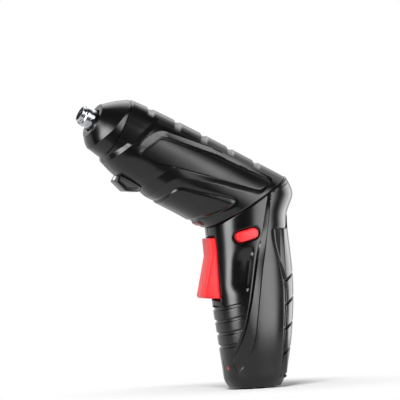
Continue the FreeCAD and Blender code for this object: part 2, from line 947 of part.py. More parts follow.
def screw_group(form, places):
    screws = []
    for x, z in places:
        seat = screw_seat(form, x, z)
        shank = rod_y(screw_radius, -screw_bite, seat, x, z)
        screws.append(shank.fuse(rod_y(screw_head_radius, seat, seat + screw_head, x, z)))
    return Part.makeCompound(screws)


def screw_holes(form, places):
    # clearance for the shanks, and counterbores from the right side
    holes = []
    for x, z in places:
        seat = screw_seat(form, x, z)
        holes.append(rod_y(screw_radius, -screw_bite, overrun, x, z))
        holes.append(rod_y(screw_head_radius + fit, seat, overrun, x, z))
    return holes


def head_shells():
    # folding turns the head over, so its far side here is the left one at rest
    hollow = head_form(wall).common(above_swivel(rim_top, 0))
    shell = head_form(0).common(above_swivel(seam / 2, 0)).cut(hollow)
    web = box((lock_post - rib, lock_post), (-lock_width / 2, 0), (0, lock_low + lock_height))
    web = web.common(above_swivel(seam / 2, 0))
    posts = bosses(head_form(panel_recess + panel_thickness), head_screw_places())
    shell = shell.fuse(head_ribs() + posts + [web, rib_pads()])
    shell = shell.cut(side_panel_prism(panel_recess + panel_thickness))
    shell = shell.cut(lamp_block(fit)).cut(lock_window(button_play))
    shell = shell.cut(on_swivel(rod(hub_radius + slip, 0, rim_top + hub_flange), 0))
    shell = shell.cut(on_swivel(rod(hub_flange_radius + fit, rim_top, rim_top + hub_flange), 0))
    track = tube(detent_circle + detent_radius + detent_groove_play - detent_rise,
                 detent_circle - detent_radius - detent_groove_play + detent_rise, 0, seam / 2 + detent_rise + fit)
    shell = shell.cut(on_swivel(track, 0))
    pin = on_swivel(stop_pin_shape(stop_pin_radius, -seam / 2 - stop_length, rim_top, stop_angle), 0)
    far = mirrored(shell).fuse(pin).removeSplitter()
    holes = screw_holes(head_form(panel_recess + panel_thickness), head_screw_places())
    return far.cut(holes).removeSplitter(), shell.cut(holes).removeSplitter()


# Handle

def handle_front(z):
    # X of the handle's front face at one height
    share = (z - foot_height) / (grip_height - foot_height)
    for low, high in zip(handle_shares, handle_shares[1:]):
        if low[0] <= share <= high[0]:
            part_share = (share - low[0]) / (high[0] - low[0])
            return -body_radius * (low[1] + part_share * (high[1] - low[1]))
    return -body_radius


trigger_top = grip_height - trigger_drop
trigger_bottom = trigger_top - trigger_length
trigger_pin_z = trigger_top - trigger_pin_drop
trigger_pin_x = handle_front(trigger_top) + trigger_pin_set
battery_front = battery_offset - battery_radius
switch_back = battery_front - switch_back_gap
switch_front = switch_back - switch_depth
switch_floor = trigger_bottom + trigger_heel
plunger_z = switch_floor + plunger_rise
spring_z = trigger_top - trigger_spring_drop
spring_seat = switch_front + switch_depth / 2


def trigger_back(z):
    # X of the trigger's rear face at one height
    drop_share = (trigger_top - z) / trigger_length
    top = handle_front(trigger_top) + trigger_back_top
    bottom = handle_front(trigger_bottom) + trigger_back_bottom
    return top + drop_share * (bottom - top)


def trigger():
    top = handle_front(trigger_top) - trigger_lift
    bend = handle_front(trigger_top - trigger_break) - trigger_lift
    toe = handle_front(trigger_bottom) - trigger_reach
    points = [(top, trigger_top), (bend, trigger_top - trigger_break), (toe, trigger_bottom + trigger_heel),
              (toe + trigger_heel_set, trigger_bottom + trigger_heel / 2),
              (trigger_back(trigger_bottom), trigger_bottom), (trigger_back(trigger_top), trigger_top)]
    half = trigger_width / 2
    block = side_prism(points, -half, half)
    front = []
    for edge in block.Edges:
        ends = [vertex.Point for vertex in edge.Vertexes]
        flat = abs(ends[0].y - ends[1].y) < slip
        if flat and max(point.x for point in ends) < handle_front(trigger_top):
            front.append(edge)
    block = block.makeChamfer(trigger_bevel, front)
    hub = rod_y(trigger_hub_radius, -half, half, trigger_pin_x, trigger_pin_z)
    return block.fuse(hub).cut(rod_y(trigger_pin_radius + slip, -half, half, trigger_pin_x, trigger_pin_z))


def trigger_room():
    # slot in the handle's front, with room for the pull
    half = trigger_width / 2 + air
    return box((-overrun, switch_front), (-half, half), (trigger_bottom - 2 * air, trigger_top + air))


def trigger_pin():
    half = trigger_width / 2 + air + trigger_pin_hold
    return rod_y(trigger_pin_radius, -half, half, trigger_pin_x, trigger_pin_z)


def trigger_pin_boss():
    low = trigger_width / 2 + air
    reach = trigger_pin_hold + fit
    return rod_y(trigger_hub_radius + air, -low - reach, -low, trigger_pin_x, trigger_pin_z).fuse(
        box((trigger_pin_x - trigger_hub_radius, trigger_pin_x + trigger_hub_radius), (-overrun, -low),
            (trigger_pin_z - rib / 2, trigger_pin_z + rib / 2)))


def trigger_switch():
    half = switch_width / 2
    body = box((switch_front, switch_back), (-half, half), (switch_floor, switch_floor + switch_height))
    side = plunger_side / 2 + fit
    floor = switch_front + plunger_depth + fit
    return body.cut(box((switch_front, floor), (-side, side), (plunger_z - side, plunger_z + side)))


def switch_plunger():
    side = plunger_side / 2
    tip = trigger_back(plunger_z + side) + 2 * fit
    heel = switch_front + plunger_depth - plunger_room
    return box((tip, heel), (-side, side), (plunger_z - side, plunger_z + side))


def trigger_spring():
    low = trigger_back(spring_z + trigger_spring_radius) + fit
    high = spring_seat - slip
    coil = spring(trigger_spring_radius, trigger_spring_wire, high - low, trigger_spring_turns)
    coil.rotate(centre, along_y, 90.0)
    return moved(coil, low, 0, spring_z)


def spring_web():
    half = trigger_spring_radius + rib
    return box((spring_seat, spring_seat + rib), (-overrun, 0), (spring_z - half, spring_z + half))


def battery_cell():
    return rod(battery_radius, battery_floor, battery_top, battery_offset)


def battery_contacts():
    low = rod(contact_radius, board_top, battery_floor, battery_offset)
    return Part.makeCompound([low, rod(contact_radius, battery_top, selector_floor, battery_offset)])


def charge_board():
    slab = box((-overrun, overrun), (-overrun, overrun), (port_top, board_top))
    board = both_sides(handle_form(wall + fit).common(slab))
    lamp = box((light_inner, light_inner + light_block), (-light_offset - light_block / 2,
               -light_offset + light_block / 2), (board_top, light_height + light_block / 2))
    return board.fuse(lamp)


def charge_port():
    shape = stadium(port_width, port_height, port_inset, port_top)
    inner = stadium(port_width - 2 * port_wall, port_height - 2 * port_wall, port_inset, port_top - port_wall)
    tongue = box((-port_tongue_width / 2, port_tongue_width / 2), (-port_tongue / 2, port_tongue / 2),
                 (port_inset + port_wall, port_top - port_wall))
    port = shape.cut(inner).fuse(tongue)
    return moved(turned(port, 90.0), foot_offset)


def foot_block(length, width, low, high):
    # oval plate
    curve = Part.Ellipse(Vector(0, 0, low), length, width).toShape()
    plate_face = Part.Face(Part.Wire(curve))
    return moved(plate_face.extrude(Vector(0, 0, high - low)), foot_offset)


def base_foot():
    floor = foot_height + wall
    body = foot_block(foot_length, foot_width, 0, floor + foot_flange)
    flange = foot_block(foot_length + foot_flange, foot_width + foot_flange, floor, floor + foot_flange)
    slot = stadium(port_width + 2 * fit, port_height + 2 * fit, 0, floor + foot_flange)
    return body.fuse(flange).cut(moved(turned(slot, 90.0), foot_offset)).removeSplitter()


light_front = handle_front(light_height)
light_inner = light_front + wall + light_block


def charge_light_pipe():
    pipe = rod_x(light_radius, light_front, light_inner - slip, -light_offset, light_height)
    return pipe.common(handle_form(0))


def direction_switch():
    middle = -button_offset + selector_switch_depth / 2
    half = selector_switch_width / 2
    return box((middle - selector_switch_depth, middle), (-half, half), (selector_floor, selector_top))


def direction_block(length, height, low, high):
    # oblong bar along Y, its long side tilted up towards the back
    bar = stadium(length, height, low, high)
    bar.rotate(centre, along_x, 90.0)
    bar.rotate(centre, along_y, -button_tilt)
    return moved(bar, -button_offset, 0, grip_height - button_drop)


def button_face():
    return half_width_at(handle_form(0), -button_offset, grip_height - button_drop) + button_proud


def direction_button():
    reach = button_face()
    ends = []
    for low, high in ((-reach, button_depth - reach), (reach - button_depth, reach)):
        end = direction_block(button_length, button_height, low, high)
        outer = [edge for edge in end.Edges if min(abs(vertex.Y) for vertex in edge.Vertexes) > reach - slip]
        ends.append(end.makeChamfer(button_bevel, outer))
    core = direction_block(2 * button_core, button_core, -reach + button_depth / 2, reach - button_depth / 2)
    return core.fuse(ends).removeSplitter()


def handle_leads():
    face = -button_offset + selector_switch_depth / 2
    start = Vector(face + slip, 0, selector_floor + selector_switch_height / 2)
    swivel_centre = Vector(0, 0, grip_height)
    corner = swivel_centre - swivel_axis * lead_drop
    knee = Vector(corner.x, 0, start.z)
    return lead([start, knee, corner, swivel_centre - swivel_axis * slip])


def detent_place(shape):
    return on_swivel(turned(shape, detent_angle), grip_height)


def detent_ball():
    top = seam / 2 + detent_rise
    return detent_place(Part.makeSphere(detent_radius, Vector(detent_circle, 0, top - detent_radius)))


def detent_spring():
    floor = -seam / 2 - detent_pocket
    high = seam / 2 + detent_rise - 2 * detent_radius
    coil = spring(detent_radius - detent_wire, detent_wire, high - floor - 2 * slip, detent_turns)
    return detent_place(moved(coil, detent_circle, 0, floor + slip))


def detent_boss():
    boss = rod(detent_radius + rib, -seam / 2 - detent_pocket - rib, -seam / 2, detent_circle)
    return detent_place(boss)


def detent_bore():
    return detent_place(rod(detent_radius + slip, -seam / 2 - detent_pocket, overrun, detent_circle))


def stop_slot():
    # half round slot under the stop pin's path, in the handle's end wall
    low = -seam / 2 - deck
    half = stop_pin_radius + stop_play
    sweep = sector(stop_circle + half, stop_circle - half, swivel_sweep, low, 0)
    middle = stop_angle - swivel_sweep / 2
    ends = [stop_pin_shape(half, low, 0, stop_angle), stop_pin_shape(half, low, 0, stop_angle - swivel_sweep)]
    return on_swivel(turned(sweep, middle).fuse(ends), grip_height)


def handle_screw_places():
    return front_points(front_screw_shares) + grip_points(rear_screw_shares)


def handle_ribs(inner):
    # shelves round the battery, the board and the switches
    cell = rod(battery_radius + fit, battery_floor - fit, battery_top + fit, battery_offset)
    shelves = []
    heights = [foot_height + share * (grip_height - foot_height) for share in handle_rib_shares]
    heights += [switch_floor - fit - rib, top_rib_floor]
    for low in heights:
        slab = box((-overrun, overrun), (-overrun, 0), (low, low + rib))
        shelves.append(inner.common(slab).cut(cell))
    contact = rod(contact_radius + fit, battery_top, selector_floor, battery_offset)
    shelves[-1] = shelves[-1].cut(contact)
    ledge = box((-overrun, overrun), (-overrun, 0), (port_top - fit - rib, port_top - fit))
    shelves.append(inner.common(ledge).cut(handle_form(wall + board_ledge)))
    return shelves


def rear_grip_prism():
    return side_prism(grip_points(rear_grip_shares), -overrun, 0)


def front_grip_prism():
    return side_prism(front_points(front_grip_shares), -overrun, 0)


def grip_pad(prism):
    return prism.common(handle_form(-grip_proud)).cut(handle_form(grip_depth))


def grooves(count, first, pitch, tilt, x):
    # thin slanted slabs outside the grooves' floor
    slabs = []
    for number in range(count):
        slab = box((-body_radius / 2, body_radius / 2), (-overrun, 0), (-grip_groove / 2, grip_groove / 2))
        slab.rotate(centre, along_y, -tilt)
        slabs.append(moved(slab, x, 0, first + number * pitch))
    return Part.makeCompound(slabs).cut(handle_form(grip_groove_depth - grip_proud))


def rear_grip():
    cuts = grooves(rear_groove_count, rear_groove_first, rear_groove_pitch, rear_groove_tilt, body_radius)
    return both_sides(grip_pad(rear_grip_prism()).cut(cuts))


def front_grip():
    cuts = grooves(front_groove_count, front_groove_first, front_groove_pitch, front_groove_tilt, -body_radius)
    return both_sides(grip_pad(front_grip_prism()).cut(cuts))


def handle_shells():
    form = handle_form(0)
    under = below_swivel(seam / 2 + deck, grip_height)
    above_floor = box((-overrun, overrun), (-overrun, overrun), (foot_height + wall, 3 * overrun))
    inner = handle_form(wall).common(under).common(above_floor)
    shell = form.common(below_swivel(seam / 2, grip_height)).cut(inner)
    overlap = handle_form(wall / 2)
    posts = bosses(overlap, handle_screw_places())
    pieces = handle_ribs(overlap) + posts + [spring_web().common(overlap), detent_boss().common(overlap)]
    shell = shell.fuse(pieces + [trigger_pin_boss().common(overlap)])
    cell = rod(battery_radius + fit, battery_floor - fit, battery_top + fit, battery_offset)
    shell = shell.cut([cell, trigger_room()])
    floor = foot_height + wall
    shell = shell.cut([foot_block(foot_length, foot_width, 0, floor), foot_block(
        foot_length + foot_flange + fit, foot_width + foot_flange + fit, floor, floor + foot_flange + fit)])
    shell = shell.cut(direction_block(button_length + 2 * button_play, button_height + 2 * button_play,
                                      -overrun, overrun))
    skins = [prism.cut(handle_form(grip_depth)) for prism in (rear_grip_prism(), front_grip_prism())]
    shell = shell.cut(skins)
    pin = rod_y(trigger_pin_radius, -overrun, overrun, trigger_pin_x, trigger_pin_z)
    hold = trigger_width / 2 + air + trigger_pin_hold
    pin = pin.common(box((-overrun, overrun), (-hold, hold), (0, 3 * overrun)))
    switch_gap = box((switch_front - fit, switch_back + fit), (-switch_width / 2 - fit, switch_width / 2 + fit),
                     (switch_floor - fit, switch_floor + switch_height + fit))
    shell = shell.cut([pin, switch_gap, on_swivel(rod(hub_radius + slip, -rim_top - rib, 0), grip_height)])
    right = mirrored(shell.cut(detent_boss().common(overlap).common(under)))
    slot = stop_slot()
    holes = screw_holes(handle_form(grip_depth), handle_screw_places())
    pipe = rod_x(light_radius, -overrun, light_inner, -light_offset, light_height)
    left = shell.cut([detent_bore(), slot, pipe] + holes)
    return left.removeSplitter(), right.cut([slot] + holes).removeSplitter()


# Every piece, by name

def handle_pieces():
    left, right = handle_shells()
    return {
        "handle_shell_left": left,
        "handle_shell_right": right,
        "rear_grip": rear_grip(),
        "front_grip": front_grip(),
        "handle_screws": screw_group(handle_form(grip_depth), handle_screw_places()),
        "battery_cell": battery_cell(),
        "battery_contacts": battery_contacts(),
        "charge_board": charge_board(),
        "charge_port": charge_port(),
        "charge_light_pipe": charge_light_pipe(),
        "base_foot": base_foot(),
        "trigger": trigger(),
        "trigger_pin": trigger_pin(),
        "trigger_spring": trigger_spring(),
        "trigger_switch": trigger_switch(),
        "switch_plunger": switch_plunger(),
        "direction_button": direction_button(),
        "direction_switch": direction_switch(),
        "handle_leads": handle_leads(),
        "detent_ball": detent_ball(),
        "detent_spring": detent_spring(),
    }


def head_pieces():
    left, right = head_shells()
    panel = side_panel()
    pieces = {
        "head_shell_left": left,
        "head_shell_right": right,
        "side_panel_left": mirrored(panel),
        "side_panel_right": panel,
        "nose_cap": nose_cap(),
        "head_screws": screw_group(head_form(panel_recess + panel_thickness), head_screw_places()),
        "lamp_housing": lamp_housing(),
        "lamp_lens": lamp_lens(),
        "lamp_led": lamp_led(),
        "lock_button": lock_button(),
        "lock_spring": lock_spring(),
        "swivel_hub": swivel_hub(),
        "swivel_clip": swivel_clip(),
        "head_leads": head_leads(),
        "motor_can": motor_can(),
        "motor_end_cap": motor_end_cap(),
        "motor_magnets": motor_magnets(),
        "armature_core": armature_core(),
        "armature_coils": armature_coils(),
        "motor_shaft": motor_shaft(),
        "motor_plate": motor_plate(),
        "ring_gear": ring_gear(),
        "first_carrier": first_carrier(),
        "output_carrier": output_carrier(),
        "gearbox_cover": gearbox_cover(),
        "spindle_bush": spindle_bush(),
        "spindle": spindle(),
        "bit_magnet": bit_magnet(),
        "lock_ball": lock_ball(),
        "chuck_sleeve": chuck_sleeve(),
        "sleeve_spring": sleeve_spring(),
        "snap_ring": snap_ring(),
    }
    for number in range(planet_count):
        pieces["first_planet_%d" % (number + 1)] = planet(number, gears_1_rear)
        pieces["second_planet_%d" % (number + 1)] = planet(number, gears_2_rear)
    for shape in pieces.values():
        shape.Placement = head_fold.multiply(shape.Placement)
    return pieces


os.makedirs("parts", exist_ok=True)
tool = {**handle_pieces(), **head_pieces()}
for name, shape in tool.items():
    shape.exportStep("parts/%s.step" % name)
    print(name, len(shape.Solids), "valid" if shape.isValid() else "invalid", round(shape.Volume, 1))
print("grip height %.2f, head reach %.2f, body radius %.2f" % (grip_height, head_reach, body_radius))
print("sleeve travel %.2f, trigger pin %.2f %.2f" % (sleeve_travel, trigger_pin_x, trigger_pin_z))
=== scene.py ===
import math

import bmesh
import bpy
import numpy as np
from mathutils import Matrix, Vector


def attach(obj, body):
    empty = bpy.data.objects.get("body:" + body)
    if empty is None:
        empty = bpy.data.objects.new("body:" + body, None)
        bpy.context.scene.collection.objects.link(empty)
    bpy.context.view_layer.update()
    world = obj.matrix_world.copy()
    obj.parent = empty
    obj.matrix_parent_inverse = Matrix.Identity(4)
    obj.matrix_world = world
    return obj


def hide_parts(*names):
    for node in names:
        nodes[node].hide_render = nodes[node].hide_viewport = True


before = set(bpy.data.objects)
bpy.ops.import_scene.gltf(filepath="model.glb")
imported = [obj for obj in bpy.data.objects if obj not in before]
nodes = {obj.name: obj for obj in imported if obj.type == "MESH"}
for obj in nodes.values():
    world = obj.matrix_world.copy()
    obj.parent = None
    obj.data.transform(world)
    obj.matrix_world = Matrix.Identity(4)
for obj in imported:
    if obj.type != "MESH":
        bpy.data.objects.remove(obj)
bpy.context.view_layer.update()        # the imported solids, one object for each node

mm = 0.001
tiny = 1e-12  # keeps a division from zero
nowhere = -9.0  # distance of a place that is far from any hole
sharpEdge = 32  # degrees between two faces that stay a hard edge
halfTurnSteps = 720  # fine steps in which a half section is searched


# small helpers

def linear(code):  # sRGB hex to linear
    channels = [int(code[k:k + 2], 16) / 255 for k in (0, 2, 4)]
    return (*[c / 12.92 if c <= 0.04045 else ((c + 0.055) / 1.055) ** 2.4 for c in channels], 1.0)


def setInputs(tree, node, inputs):  # an input is a value, or a socket to link from
    for key, value in inputs.items():
        if isinstance(value, bpy.types.NodeSocket):
            tree.links.new(value, node.inputs[key])
        else:
            node.inputs[key].default_value = value


def addNode(tree, kind, settings={}, inputs={}):
    node = tree.nodes.new(kind)
    for key, value in settings.items():
        setattr(node, key, value)
    setInputs(tree, node, inputs)
    return node


def maths(tree, operation, *values):  # output of one Math node
    return addNode(tree, "ShaderNodeMath", {"operation": operation}, dict(enumerate(values))).outputs[0]


def spread(tree, value, low, high, start=0.0, end=1.0, kind="LINEAR"):  # start to end becomes low to high
    limits = {"Value": value, "From Min": start, "From Max": end, "To Min": low, "To Max": high}
    return addNode(tree, "ShaderNodeMapRange", {"interpolation_type": kind}, limits).outputs["Result"]


def ramp(low, high, x):
    return np.clip((x - low) / (high - low), 0, 1)


def softStep(low, high, x):
    t = ramp(low, high, x)
    return t * t * (3 - 2 * t)


def throughPoints(x, y, at):  # natural cubic through the points
    x, y = np.asarray(x, float), np.asarray(y, float)
    h, n = np.diff(x), len(x)
    rows, right = np.eye(n), np.zeros(n)
    for i in range(1, n - 1):
        rows[i, i - 1:i + 2] = h[i - 1], 2 * (h[i - 1] + h[i]), h[i]
        right[i] = 6 * ((y[i + 1] - y[i]) / h[i] - (y[i] - y[i - 1]) / h[i - 1])
    bend = np.linalg.solve(rows, right)
    k = np.clip(np.searchsorted(x, at) - 1, 0, n - 2)
    a, b = x[k + 1] - at, at - x[k]
    return ((bend[k] * a ** 3 + bend[k + 1] * b ** 3) / (6 * h[k])
            + (y[k] / h[k] - bend[k] * h[k] / 6) * a + (y[k + 1] / h[k] - bend[k + 1] * h[k] / 6) * b)


def alongLine(line, at):  # the first coordinate of a line, by its second
    return np.interp(at, [q[1] for q in line], [q[0] for q in line])


def rounded(points, radius, steps=5):  # corners of an outline eased by a small arc
    mostShare = 0.45  # of a side, for one corner
    out, n = [], len(points)
    for i in range(n):
        corner = Vector(points[i])
        before, after = Vector(points[i - 1]) - corner, Vector(points[(i + 1) % n]) - corner
        start = corner + before.normalized() * min(radius, before.length * mostShare)
        end = corner + after.normalized() * min(radius, after.length * mostShare)
        for k in range(steps + 1):
            t = k / steps
            out.append(tuple(start * (1 - t) ** 2 + corner * 2 * t * (1 - t) + end * t ** 2))
    return out


def lineDistance(points, x, y):
    best = np.full(np.shape(x), np.inf)
    for (x0, y0), (x1, y1) in zip(points[:-1], points[1:]):
        dx, dy = x1 - x0, y1 - y0
        t = np.clip(((x - x0) * dx + (y - y0) * dy) / (dx * dx + dy * dy + tiny), 0, 1)
        best = np.minimum(best, np.hypot(x - x0 - t * dx, y - y0 - t * dy))
    return best


def insideDistance(points, x, y):  # positive inside the outline
    inside = np.zeros(np.shape(x), bool)
    for (x0, y0), (x1, y1) in zip(points, points[1:] + points[:1]):
        crosses = (y0 > y) != (y1 > y)
        inside ^= crosses & (x < (x1 - x0) * (y - y0) / (y1 - y0 + tiny) + x0)
    return np.where(inside, 1, -1) * lineDistance(points + points[:1], x, y)


def boxDistance(x, y, x0, x1, y0, y1):  # positive inside
    return np.minimum(np.minimum(x - x0, x1 - x), np.minimum(y - y0, y1 - y))


def shade(mesh, sharp=sharpEdge):
    mesh.shade_smooth()
    mesh.set_sharp_from_angle(angle=math.radians(sharp))


def makePiece(name, verts, faces, material, sharp=sharpEdge):  # verts in mm
    mesh = bpy.data.meshes.new(name)
    mesh.from_pydata((np.asarray(verts) * mm).tolist(), [], faces)
    mesh.validate()
    shade(mesh, sharp)
    mesh.materials.append(material)
    piece = bpy.data.objects.new(name, mesh)
    bpy.context.scene.collection.objects.link(piece)
    return piece


def settle(place, angle, level, free, measure, reach):  # grid points near a line are moved onto it
    step, leastSlope, rounds = 1e-4, 0.3, 2
    near = None
    for _ in range(rounds):
        p, pa, pl = place(angle, level), place(angle + step, level), place(angle, level + step)
        d = measure(p)
        la, ll = [np.linalg.norm(q - p, axis=-1) / step + tiny for q in (pa, pl)]
        ga, gl = (measure(pa) - d) / step / la, (measure(pl) - d) / step / ll
        ga[:, [0, -1]] = 0  # the grid's own borders stay
        gl[[0, -1], :] = 0
        steep = ga * ga + gl * gl
        if near is None:
            near = free & (np.abs(d) < reach) & (steep > leastSlope)
        angle = angle - np.where(near, d * ga / (steep + tiny) / la, 0)
        level = level - np.where(near, d * gl / (steep + tiny) / ll, 0)
    return angle, level, free & ~near


def guided(place, lines, cols, levels):  # columns of a grid that follow lines given as x by height
    fine = np.linspace(0, math.pi, halfTurnSteps + 1)
    p = place(fine[None, :] + 0 * levels[:, None], levels[:, None] + 0 * fine[None, :])
    turns = [np.zeros(len(levels))]
    row = np.arange(len(levels))
    for line in lines:
        past = p[..., 0] - alongLine(line, p[..., 2])
        k = np.argmax(past > 0, axis=1)
        before, after = past[row, k - 1], past[row, k]
        turns.append(fine[k - 1] - before / (after - before) * (fine[k] - fine[k - 1]))
    turns = np.array(turns + [np.full(len(levels), math.pi)])
    shares = np.diff(turns.mean(1)) / math.pi
    stops = np.concatenate([[0], np.round(np.cumsum(shares) * cols)])
    for k in range(1, len(stops)):  # one column at least between two lines
        stops[k] = max(stops[k], stops[k - 1] + 1)
    angle = np.array([np.interp(np.arange(cols + 1), stops, turn) for turn in turns.T])
    free = ~np.isin(np.arange(cols + 1), stops)[None, :] & np.ones(angle.shape, bool)
    return angle, levels[:, None] + 0 * angle, free


def shellFaces(hole):  # quads of a grid, without those inside a hole
    onEdge = 0.03
    rows, cols = hole.shape
    index = np.arange(rows * cols).reshape(rows, cols)
    quads = np.stack([index[:-1, :-1], index[:-1, 1:], index[1:, 1:], index[1:, :-1]], -1).reshape(-1, 4)
    h = hole.ravel()[quads]
    inside = h > onEdge
    drop = (h > -onEdge).all(1) | (inside.sum(1) >= 2)
    three = ~drop & (inside.sum(1) == 1)
    faces = quads[~drop & ~three].tolist()
    for quad, gone in zip(quads[three], inside[three]):
        faces.append(quad[~gone].tolist())
    return faces


def ringFaces(rows, around):  # quads of turned rows, with the last row joined to the first
    index = np.arange(rows * around).reshape(rows, around)
    nextRow = np.roll(index, -1, 0)
    quads = [index, np.roll(index, -1, 1), np.roll(nextRow, -1, 1), nextRow]
    return np.stack(quads, -1).reshape(-1, 4).tolist()


def walled(outer, inner, faces):  # outer skin, inner skin and the rims between them
    count = len(outer)
    edges = set()
    for f in faces:
        edges.update(zip(f, f[1:] + f[:1]))
    rims = [(j, i, i + count, j + count) for i, j in edges if (j, i) not in edges]
    every = faces + [[k + count for k in reversed(f)] for f in faces] + [list(r) for r in sorted(rims)]
    verts = np.concatenate([outer, inner])
    used = np.unique(np.concatenate([np.asarray(f) for f in every]))
    remap = np.full(len(verts), -1)
    remap[used] = np.arange(len(used))
    return verts[used], [[int(remap[k]) for k in f] for f in every]


def mirrored(verts, faces):
    return verts * np.array((1, -1, 1)), [f[::-1] for f in faces]


# finishes

def startFinish(name):
    material = bpy.data.materials.new(name)
    material.use_nodes = True
    tree = material.node_tree
    return material, tree, tree.nodes["Principled BSDF"]


def grainOf(tree, size, detail):  # noise of a size in mm, fixed to the piece
    where = addNode(tree, "ShaderNodeTexCoord").outputs["Object"]
    inputs = {"Vector": where, "Scale": 1 / (size * mm), "Detail": detail}
    return addNode(tree, "ShaderNodeTexNoise", {}, inputs).outputs["Fac"]


def bumped(tree, height, strength, depth):
    inputs = {"Height": height, "Strength": strength, "Distance": depth * mm}
    return addNode(tree, "ShaderNodeBump", {}, inputs).outputs["Normal"]


def mouldedFinish(name, dark, light, roughness, grain, depth, specular=0.5):
    # Moulded plastic or rubber: one colour through, a fine eroded grain, slow changes of gloss.
    # The real grain is near 0.1 mm; it is drawn at the given size in mm so that it shows.
    patch, smoother, rougher = 22, 0.04, 0.05
    material, tree, shader = startFinish(name)
    slow = grainOf(tree, patch, detail=3.0)
    tint = addNode(tree, "ShaderNodeMix", {"data_type": "RGBA"},
                   {"Factor": slow, "A": linear(dark), "B": linear(light)})
    setInputs(tree, shader, {
        "Base Color": tint.outputs["Result"],
        "Roughness": spread(tree, slow, roughness - smoother, roughness + rougher, start=0.3, end=0.7),
        "Normal": bumped(tree, grainOf(tree, grain, detail=2.0), strength=0.35, depth=depth),
        "Specular IOR Level": specular})
    return material


def metalFinish(name, colour, roughness, streak, depth):
    # Bare or plated metal: mirror colour with fine tool marks that spread the highlight.
    change = 0.4  # share by which the marks change the roughness
    material, tree, shader = startFinish(name)
    marks = grainOf(tree, streak, detail=3.0)
    setInputs(tree, shader, {
        "Base Color": linear(colour), "Metallic": 1.0,
        "Roughness": spread(tree, marks, roughness * (1 - change), roughness * (1 + change)),
        "Normal": bumped(tree, marks, strength=0.15, depth=depth)})
    return material


def lensFinish(name, colour, glow):
    # Clear or milky polycarbonate with a painted glow: emission in its own colour stands in for light passing
    # through the body.
    haze, clear, milky = 0.6, 0.08, 0.2
    material, tree, shader = startFinish(name)
    setInputs(tree, shader, {
        "Base Color": linear(colour), "Emission Color": linear(colour), "Emission Strength": glow,
        "IOR": 1.58, "Roughness": spread(tree, grainOf(tree, haze, detail=2.0), clear, milky)})
    return material


# moulded: dark and light colour, roughness, grain and its depth, specular
# metal: colour, roughness, marks and their depth; lens: colour and painted glow
finishes = {
    "black_plastic": mouldedFinish("mouldedBlackAbs", "0a0a0b", "101011", 0.21, 0.55, 0.02, 0.42),
    "panel_plastic": mouldedFinish("mouldedPanelAbs", "0c0c0d", "121213", 0.24, 0.6, 0.02, 0.42),
    "grip_rubber": mouldedFinish("mouldedGripRubber", "0a0a0b", "101011", 0.23, 0.7, 0.03, 0.42),
    "red_plastic": mouldedFinish("mouldedRedAbs", "f22228", "f82c32", 0.30, 0.55, 0.0015, 0.28),
    # the red plastic darkened for the lock button: painted shade, for a button that sits in shadow near the
    # swivel seam
    "red_plastic_painted_shade": mouldedFinish("mouldedRedAbsPaintedShade", "6c0c10", "7a1216", 0.3, 0.55, 0.012, 0.3),
    "bright_chrome": metalFinish("platedChrome", "b6b8bc", 0.22, 0.9, 0.0004),
    "machine_steel": metalFinish("turnedSteel", "b9bbbe", 0.26, 0.7, 0.006),
    "gear_nylon": mouldedFinish("mouldedNylon", "d9d4c4", "e6e1d2", 0.45, 0.5, 0.01),
    "bronze": metalFinish("sinteredBronze", "a97d4c", 0.4, 0.35, 0.02),
    "cell_wrap": mouldedFinish("shrunkCellWrap", "1d4f8c", "2560a4", 0.3, 0.8, 0.01),
    "contact_nickel": metalFinish("platedNickel", "c4bfb4", 0.22, 0.6, 0.005),
    "circuit_board": mouldedFinish("lacqueredBoard", "0f4a2a", "156036", 0.35, 0.6, 0.01),
    "switch_plastic": mouldedFinish("mouldedSwitchNylon", "1c2430", "27303c", 0.45, 0.5, 0.01),
    "lead_insulation": mouldedFinish("extrudedLeadVinyl", "a81e1e", "bb2828", 0.4, 0.6, 0.01),
    # the lamp lens, light pipe and lamp epoxy shine by a painted glow, with no lamp in them
    "clear_lens": lensFinish("mouldedLampLens", "f4f6f8", 0.35),
    "charge_light": lensFinish("mouldedLightPipe", "a3161e", 0.15),
    "led_body": lensFinish("castLampEpoxy", "f3efdc", 0.1),
    "ferrite": mouldedFinish("firedFerrite", "26262a", "313136", 0.55, 0.4, 0.02),
    "core_iron": metalFinish("stampedIron", "8b8d90", 0.35, 0.5, 0.01),
    "copper_wire": metalFinish("enamelledCopper", "b0602f", 0.28, 0.4, 0.02),
}
for node in nodes.values():  # every carried node gets its slot's finish
    slotName = node.material_slots[0].material.name.split(".")[0]
    node.data.materials.clear()
    node.data.materials.append(finishes[slotName])
print("finishes made:", len(finishes))


def dressed(node, body, slot, verts, faces, sharp=sharpEdge, finish=None, cuts=None):  # in place of its node
    piece = makePiece("dressed_" + node, verts, faces, finishes[finish or slot], sharp)
    if cuts:
        grooved(piece, *cuts, finishes[slot])
    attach(piece, body)
    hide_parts(node)


# housing forms, in mm, as the solids have them

